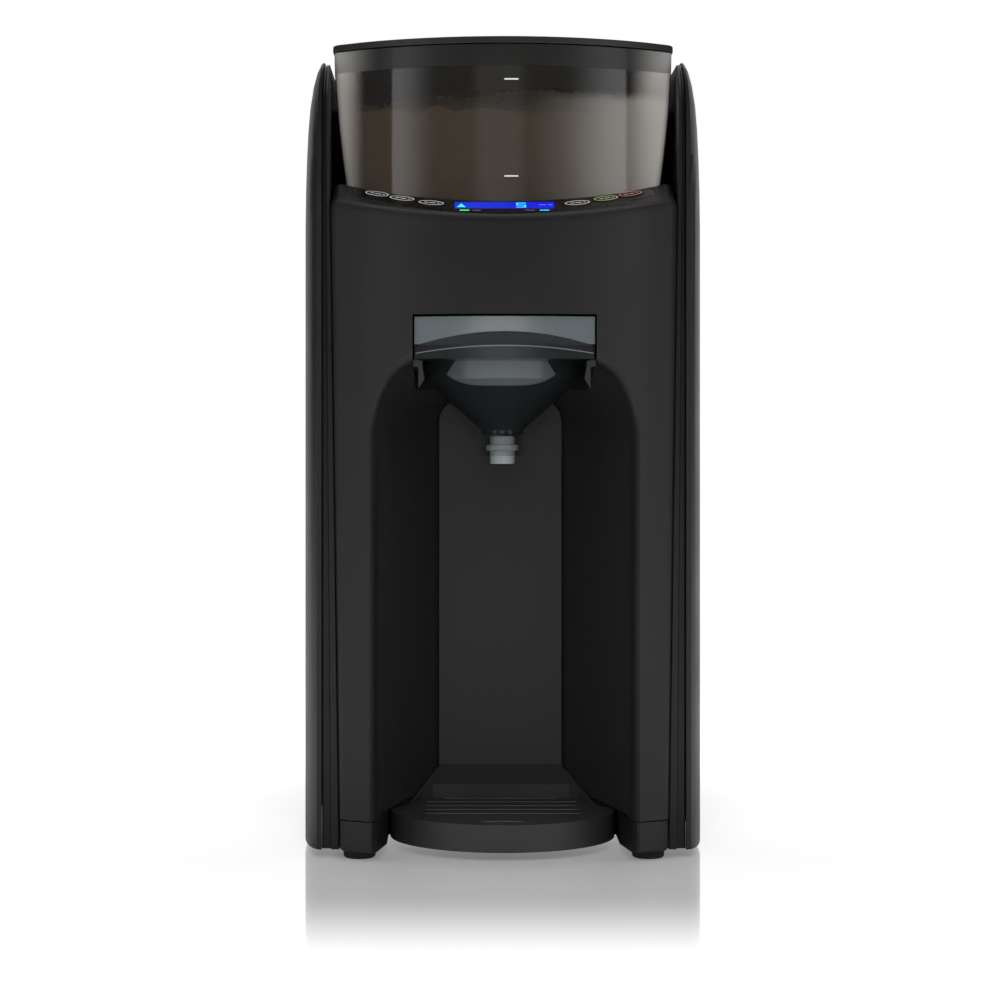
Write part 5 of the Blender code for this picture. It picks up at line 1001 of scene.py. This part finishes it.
for side, part in ((-1, "funnel_rail_left"), (1, "funnel_rail_right")):
    bar = [(BAR_FRONT, RAIL_HIGH), (BAR_FRONT, BAR_LOW), (FUNNEL_AT, BAR_LOW), (FUNNEL_AT, RAIL_HIGH)]
    rail = slab(part + "_skin", bar, side, RAIL_IN, RAIL_OUT)
    hook = [(-0.0369, RAIL_HIGH - 0.0008), (-0.0369, RAIL_HIGH - 0.0125), (-0.0343, RAIL_HIGH - 0.0082),
            (-0.0352, RAIL_HIGH - 0.0036), (-0.0352, RAIL_HIGH - 0.0008)]
    tooth = loft(part + "_hook", [[(-side * x, y, z) for x, z in hook]
                                  for y in (RAIL_FRONT + 0.001, RAIL_FRONT + 0.0026)])
    step = slab(part + "_step", [(BAR_FRONT, STEP_HIGH), (BAR_FRONT, STEP_LOW), (STEP_REAR, STEP_LOW),
                                 (STEP_REAR, STEP_HIGH)], side, STEP_IN, STEP_OUT)
    boolean(rail, [step, tooth], "UNION")
    settle(rail, edge_round(0.15, 2))
    finish(rail, part, rail_pom)

# Bottle tray
# A drip dish moulded in a greyer ABS, with a tongue that runs back under the bay's panel.
# A matt, greyer black: the tray is grained so that drops and scratches hide.
tray_abs = moulded_plastic("matt_tray_abs", "#333333", "#383838", 0.5, 0.6, 0.02)
from_cad("bottle_tray", tray_abs, 0.5, 3)

# Drip grille
# A thin slotted plate that drops into the tray; it is polished a little by wiping.
# Wiping has made the grain smoother, so that the plate is brighter than the tray.
grille_abs = moulded_plastic("wiped_grille_abs", "#3a3a3a", "#404040", 0.34, 0.6, 0.015)
from_cad("drip_grille", grille_abs, 0.2)
# A thin pale line along the rear edge of each slot is a painted highlight.
slot_highlight = moulded_plastic("painted_slot_highlight", "#707070", "#7c7c7c", 0.3, 0.6, 0.005)
SLOT_PITCH, SLOT_REAR, SLOT_TOP, EDGE_WIDE = 0.012, 0.00145, 0.01503, 0.00026
tree, given = nodes_tree("slot_highlights", (("Rows", "Int"), ("Pitch", "Float"), ("Length", "Float"),
                                        ("Edge", "Float"), ("First", "Vector")))
step = add(tree, "ShaderNodeCombineXYZ", None, None, {"Y": given["Pitch"]})
rows = add(tree, "GeometryNodeMeshLine", None, None,
           {"Count": given["Rows"], "Start Location": given["First"], "Offset": step.outputs["Vector"]})
size = add(tree, "ShaderNodeCombineXYZ", None, None,
           {"X": given["Length"], "Y": given["Edge"], "Z": given["Edge"]})
strip = add(tree, "GeometryNodeMeshCube", None, None, {"Size": size.outputs["Vector"]})
strips = add(tree, "GeometryNodeInstanceOnPoints", None, None,
             {"Points": rows.outputs["Mesh"], "Instance": strip.outputs["Mesh"]})
end_tree(tree, strips.outputs["Instances"], slot_highlight)
SLOT_ROWS = (("front_slot_highlight", 1, -0.1155, 0.0172), ("slot_highlights", 5, -0.0915, 0.0684))
# Each thin pale strip is a painted highlight on a slot's rear edge.
for name, rows, first, length in SLOT_ROWS:
    edges = grown(name, mesh_object("slot_host", [(0, 0, 0)], []), tree,
                  {"Rows": rows, "Pitch": SLOT_PITCH, "Length": length, "Edge": EDGE_WIDE,
                   "First": (0.0, first + SLOT_REAR, SLOT_TOP)})
    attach(edges, "grille")

# Hoses
# Three extruded silicone tubes, pushed on to their spigots. They carry the water from the tank's seat
# through the pump and the heater to the bay.
for hose in ("inlet_hose", "heater_hose", "spray_pipe"):
    from_cad(hose, silicone, 0.1, 1, 60)

# Boards
# Two printed circuit boards of glass-fibre laminate, coated with solder mask. The power board stands on
# its legs at the back; the control board lies under the deck, with a switch below each key.
# The mask is a deep, glossy green.
solder_mask = moulded_plastic("green_solder_mask", "#123a1c", "#174722", 0.3, 2.0, 0.01)
from_cad("power_board", solder_mask, 0.2)
from_cad("control_board", solder_mask, 0.1)

# Control panel
# A crescent of piano-black acrylic, moulded and polished, and bonded into a recess of the sloping deck,
# flush with it. The keys and the windows pass through it.


def deck_print(name, outline, lift, ink, body, inner=None):
    """A printed shape that lies on the deck: a filled outline, or the band between two outlines."""
    points = deck_ring(outline, lift)
    if inner is None:
        made = mesh_object(name, points, [tuple(range(len(points)))])
    else:
        n = len(points)
        points += deck_ring(inner, lift)
        made = mesh_object(name, points, [(i, (i + 1) % n, n + (i + 1) % n, n + i) for i in range(n)])
    face_towards(made, (0, -0.4, 0.9))
    made.data.materials.append(ink)
    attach(made, body)


# Polished acrylic over black: it mirrors the room in one clear sheet.
gloss_pmma = moulded_plastic("piano_black_acrylic", "#060606", "#080808", 0.07, 30, 0.0, 1.49)
PANEL_LEVELS = ((-0.0016, 0.0), (-0.0002, 0.0), (-0.00006, -0.00006), (0.0, -0.0002))
panel = loft("control_panel_skin", [deck_ring(crescent(grow), lift) for lift, grow in PANEL_LEVELS])
boolean(panel, deck_openings(-0.003))
even_normals(panel, 25)
finish(panel, "control_panel", gloss_pmma)

# Keys
# Six oval keys moulded in the same acrylic, each on a stem through the deck. Each has a printed ring,
# green and red on the outer two on the right, and three short dashes in place of a symbol.
KEY_INKS, PLAIN_INK = {"key_middle_right": "#b9c78a", "key_outer_right": "#c98a86"}, "#d8d8d6"
KEY_LEVELS = ((-0.0016, 0.00025), (0.0001, 0.00025), (0.00028, 0.0003), (0.00037, 0.00045), (0.0004, 0.0008))
KEY_TOP, KEY_STEM, STEM_LOW, STEM_HIGH = 0.00044, 0.0026, -0.0045, -0.0008
RING_LONG, RING_WIDE, RING_LINE, DASH_WIDE = 0.0112, 0.0052, 0.00042, 0.00055
DASHES = ((-0.0022, 0.0018), (0.0006, 0.0028), (0.0032, 0.0009))
for key, (x, y, turn) in KEY_SEATS.items():
    rings = [deck_ring(deck_oval(x, y, turn, KEY_LONG - inset * 2, KEY_WIDE - inset * 2), lift)
             for lift, inset in KEY_LEVELS]
    cap = loft(key + "_skin", rings)
    stem = deck_prism(key + "_rod", deck_oval(x, y, 0, KEY_STEM, KEY_STEM, 32), STEM_LOW, STEM_HIGH)
    boolean(cap, [stem], "UNION")
    even_normals(cap)
    finish(cap, key, gloss_pmma)
    # The key ink glows a little: painted light that brightens the rings and dashes.
    ink = print_ink(key + "_ink", KEY_INKS.get(key, PLAIN_INK), 0.25)
    deck_print(key + "_ring", deck_oval(x, y, turn, RING_LONG, RING_WIDE), KEY_TOP, ink, key,
               deck_oval(x, y, turn, RING_LONG - RING_LINE * 2, RING_WIDE - RING_LINE * 2))
    for part, (at, long) in enumerate(DASHES):
        px, py = x + at * math.cos(turn), y - at * math.sin(turn)
        deck_print(f"{key}_dash_{part}", deck_box(px, py, long, DASH_WIDE, turn), KEY_TOP, ink, key)

# Display
# A blue backlit liquid-crystal window behind clear acrylic. Its signs are plain shapes: a drop, a
# figure 5 and two bars.
DISPLAY_AT, DISPLAY_HALF, DISPLAY_TOP, FIGURE_AT = -0.1293, 0.0216, 0.00004, 0.0072
# The backlight shines through the crystal: a deep blue that turns a little to violet on the right.
lit_blue, tree, place = new_material("backlit_lcd")
here = axes(tree, place)
across = remap(tree, here["X"], 0.0, 1.0, -DISPLAY_HALF, DISPLAY_HALF)
close(tree, principled(tree, {"Base Color": rgba("#060a30"), "Roughness": 0.08, "IOR": 1.49,
                              "Emission Strength": 0.85},
                       {"Emission Color": blend(tree, across, "#1638e0", "#1010e8")}))
from_cad("display_window", lit_blue, 0.05)
# The crystal's lit signs: bright for the drop and the figure, weaker for the bars.
lcd_cyan = print_ink("lcd_sign_cyan", "#38c8f0", 0.9)
lcd_pale = print_ink("lcd_sign_pale", "#3c6cf0", 0.9)
deck_print("display_drop", [(-0.0205, DISPLAY_AT - 0.0026), (-0.0166, DISPLAY_AT - 0.0026),
                            (-0.0185, DISPLAY_AT + 0.0022)], DISPLAY_TOP, lcd_cyan, "housing")
FIGURE_BARS = ((0, 0.0026, 0.0042, 0.0009), (0, 0, 0.0042, 0.0009), (0, -0.0026, 0.0042, 0.0009),
               (-0.0017, 0.0013, 0.0008, 0.0026), (0.0017, -0.0013, 0.0008, 0.0026))
for part, (dx, dy, long, wide) in enumerate(FIGURE_BARS):
    deck_print(f"display_figure_{part}", deck_box(FIGURE_AT + dx, DISPLAY_AT + dy, long, wide), DISPLAY_TOP,
               lcd_cyan, "housing")
for part, (x, long) in enumerate(((0.0163, 0.003), (0.0198, 0.0018))):
    deck_print(f"display_bar_{part}", deck_box(x, DISPLAY_AT + 0.0004, long, 0.0008), DISPLAY_TOP, lcd_pale,
               "housing")

# Indicator lamps
# Two small coloured lenses in front of the display, pressed into the panel and each lit from below by a
# light-emitting diode. A short grey line is printed beside each.


def lit_lens(name, colour, strength):
    """A moulded acrylic lens over a diode, a little uneven as its frosting spreads the light."""
    material, tree, place = new_material(name)
    power = remap(tree, speckle(tree, place, 0.0012, 2), strength * 0.7, strength * 1.2)
    close(tree, principled(tree, {"Base Color": rgba(colour), "Emission Color": rgba(colour),
                                  "Roughness": 0.25, "IOR": 1.49}, {"Emission Strength": power}))
    return material


from_cad("lamp_left", lit_lens("green_lens", "#58d848", 0.9), 0.05)
from_cad("lamp_right", lit_lens("cyan_lens", "#1fb4e8", 0.9), 0.05)
# The grey label ink glows faintly: painted light.
label_ink = print_ink("grey_label_ink", "#8a8a88", 0.1)
for part, (x, y, long) in enumerate(((-0.0120, -0.13585, 0.0034), (0.0108, -0.13585, 0.0042))):
    deck_print(f"lamp_label_{part}", deck_box(x, y, long, 0.0005), DISPLAY_TOP, label_ink, "housing")

# Worktop
# A white polished sheet. It keeps the machine's shadow, and in front of the machine a soft mirror
# image that fades away. Further out it turns plain white, so that no horizon shows.
FLOOR_HALF, SHEET_LIFT = 6.0, 0.45
PLAIN_REACH, MIRROR_SIDE = (0.22, 0.75), (0.25, 0.12)
MIRROR_FRONT, MIRROR_REAR = (-0.385, -0.2, 0.0, 0.64), (-0.02, -0.13)
worktop, tree, place = new_material("polished_white_worktop")
path = add(tree, "ShaderNodeLightPath")
here = axes(tree, place)
reach = add(tree, "ShaderNodeVectorMath", {"operation": "LENGTH"}, None, {0: place})
far = sums(tree, "MULTIPLY", span(tree, reach.outputs["Value"], *PLAIN_REACH), path.outputs["Is Camera Ray"])
near_glow = sums(tree, "MULTIPLY", path.outputs["Is Camera Ray"], SHEET_LIFT)
sheet = add(tree, "ShaderNodeBsdfDiffuse", None, {"Color": rgba("#f2f2f1")})
glow = add(tree, "ShaderNodeEmission", None, {"Color": (1, 1, 1, 1)}, {"Strength": near_glow})
near = add(tree, "ShaderNodeAddShader", None, None, {0: sheet.outputs["BSDF"], 1: glow.outputs["Emission"]})
mirror = add(tree, "ShaderNodeBsdfGlossy", None, {"Color": (1, 1, 1, 1), "Roughness": 0.05})
fade = sums(tree, "MULTIPLY", span(tree, here["Y"], *MIRROR_FRONT), span(tree, here["Y"], *MIRROR_REAR))
fade = sums(tree, "MULTIPLY", fade, span(tree, sums(tree, "ABSOLUTE", here["X"]), *MIRROR_SIDE))
white = add(tree, "ShaderNodeEmission", None, {"Color": (1, 1, 1, 1), "Strength": 1.0})
polished = layered(tree, fade, near.outputs["Shader"], mirror.outputs["BSDF"])
close(tree, layered(tree, far, polished, white.outputs["Emission"]))
floor = mesh_object("worktop", [(-FLOOR_HALF, -FLOOR_HALF, 0), (FLOOR_HALF, -FLOOR_HALF, 0),
                                (FLOOR_HALF, FLOOR_HALF, 0), (-FLOOR_HALF, FLOOR_HALF, 0)], [(0, 1, 2, 3)])
floor.data.materials.append(worktop)

# Room and lamps
# A white room. Soft boxes to the left and right, brightest at their outer edges, draw the long soft
# lights on the shell. A lamp above and a fill in front show no mirror image, and a dark flag round the
# front and sides keeps the faces between the boxes dark.
world = bpy.data.worlds.new("white_room")
bpy.context.scene.world = world
world.use_nodes = True
tree = world.node_tree
tree.nodes.clear()
path = add(tree, "ShaderNodeLightPath")
seen = sums(tree, "MAXIMUM", path.outputs["Is Camera Ray"], path.outputs["Is Transmission Ray"])
level = remap(tree, seen, 0.9, 1.0)
room = add(tree, "ShaderNodeBackground", None, {"Color": (1, 1, 1, 1)}, {"Strength": level})
add(tree, "ShaderNodeOutputWorld", None, None, {"Surface": room.outputs["Background"]})


def curved_screen(name, start_deg, end_deg, distance, low, high, steps=24):
    """An upright curved sheet round the machine, from one bearing to another; 0 is straight in front."""
    points, faces = [], []
    for step in range(steps + 1):
        turn = math.radians(start_deg + (end_deg - start_deg) * step / steps)
        for height in (low, high):
            points.append((distance * math.sin(turn), -distance * math.cos(turn), height))
    for step in range(steps):
        faces.append((2 * step, 2 * step + 1, 2 * step + 3, 2 * step + 2))
    made = mesh_object(name, points, faces)
    made.visible_camera = False
    made.visible_shadow = False
    return made


def box_glow(name, start_deg, end_deg, peak):
    """A soft box's front: dark at the first bearing, brightest at the second."""
    material, tree, place = new_material(name)
    here = axes(tree, place)
    turn = sums(tree, "ARCTAN2", here["X"], sums(tree, "MULTIPLY", here["Y"], -1.0))
    rise = span(tree, turn, math.radians(start_deg), math.radians(end_deg), 0.0, peak)
    glow = add(tree, "ShaderNodeEmission", None, {"Color": rgba("#fbfcff")}, {"Strength": rise})
    close(tree, glow.outputs["Emission"])
    return material


def soft_box(name, azimuth_deg, distance, wide, tall, height, radiance):
    """An area lamp that faces the machine; its power follows from how bright its face is."""
    lamp = bpy.data.lights.new(name, "AREA")
    lamp.shape = "RECTANGLE"
    lamp.size = wide
    lamp.size_y = tall
    lamp.energy = radiance * math.pi * wide * tall
    made = bpy.data.objects.new(name, lamp)
    bpy.context.scene.collection.objects.link(made)
    turn = math.radians(azimuth_deg)
    made.location = (distance * math.sin(turn), -distance * math.cos(turn), height)
    aim = Vector((0, -0.05, 0.2)) - made.location
    made.rotation_euler = aim.to_track_quat("-Z", "Y").to_euler()
    made.visible_camera = False
    return made


BOX_AWAY, BOX_LOW, BOX_HIGH, BOX_PEAK = 2.0, -0.1, 1.9, 1.25
right_box = curved_screen("soft_box_right", 14, 54, BOX_AWAY, BOX_LOW, BOX_HIGH)
right_box.data.materials.append(box_glow("soft_box_right_glow", 25, 53, BOX_PEAK))
left_box = curved_screen("soft_box_left", -47, -14, BOX_AWAY, BOX_LOW, BOX_HIGH)
left_box.data.materials.append(box_glow("soft_box_left_glow", -27, -46, BOX_PEAK))
above = soft_box("soft_box_above", 0, 1.6, 1.4, 1.0, 1.5, 1.2)
above.visible_glossy = False
fill = soft_box("soft_box_front", -1, 3.0, 1.0, 1.0, 0.4, 6.5)
fill.visible_glossy = False
# Black cloth, woven coarsely enough to take no gloss.
flag_cloth, tree, place = new_material("black_flag_cloth")
tint = blend(tree, speckle(tree, place, 0.0025, 2), "#0a0a0a", "#101010")
cloth = add(tree, "ShaderNodeBsdfDiffuse", None, None, {"Color": tint})
close(tree, cloth.outputs["BSDF"])
flag = curved_screen("black_flag", -148, 138, 2.3, -0.3, 4.2, 60)
flag.data.materials.append(flag_cloth)
flag.visible_diffuse = False

# Camera
# The photograph's own view: 1.19 m in front of the middle of the machine and half-way up. The frame is
# shifted so that the machine stands where it does in the photograph.
camera_data = bpy.data.cameras.new("photo_camera")
camera_data.lens = 88.95
camera_data.sensor_width = 36
camera_data.shift_x = 0.0398
camera_data.shift_y = -0.05
camera = bpy.data.objects.new("photo_camera", camera_data)
bpy.context.scene.collection.objects.link(camera)
camera.location = (-0.019, -1.1925, 0.1772)
camera.rotation_euler = (math.pi / 2, 0, 0)
bpy.context.scene.camera = camera
bpy.context.scene.view_settings.view_transform = "Standard"
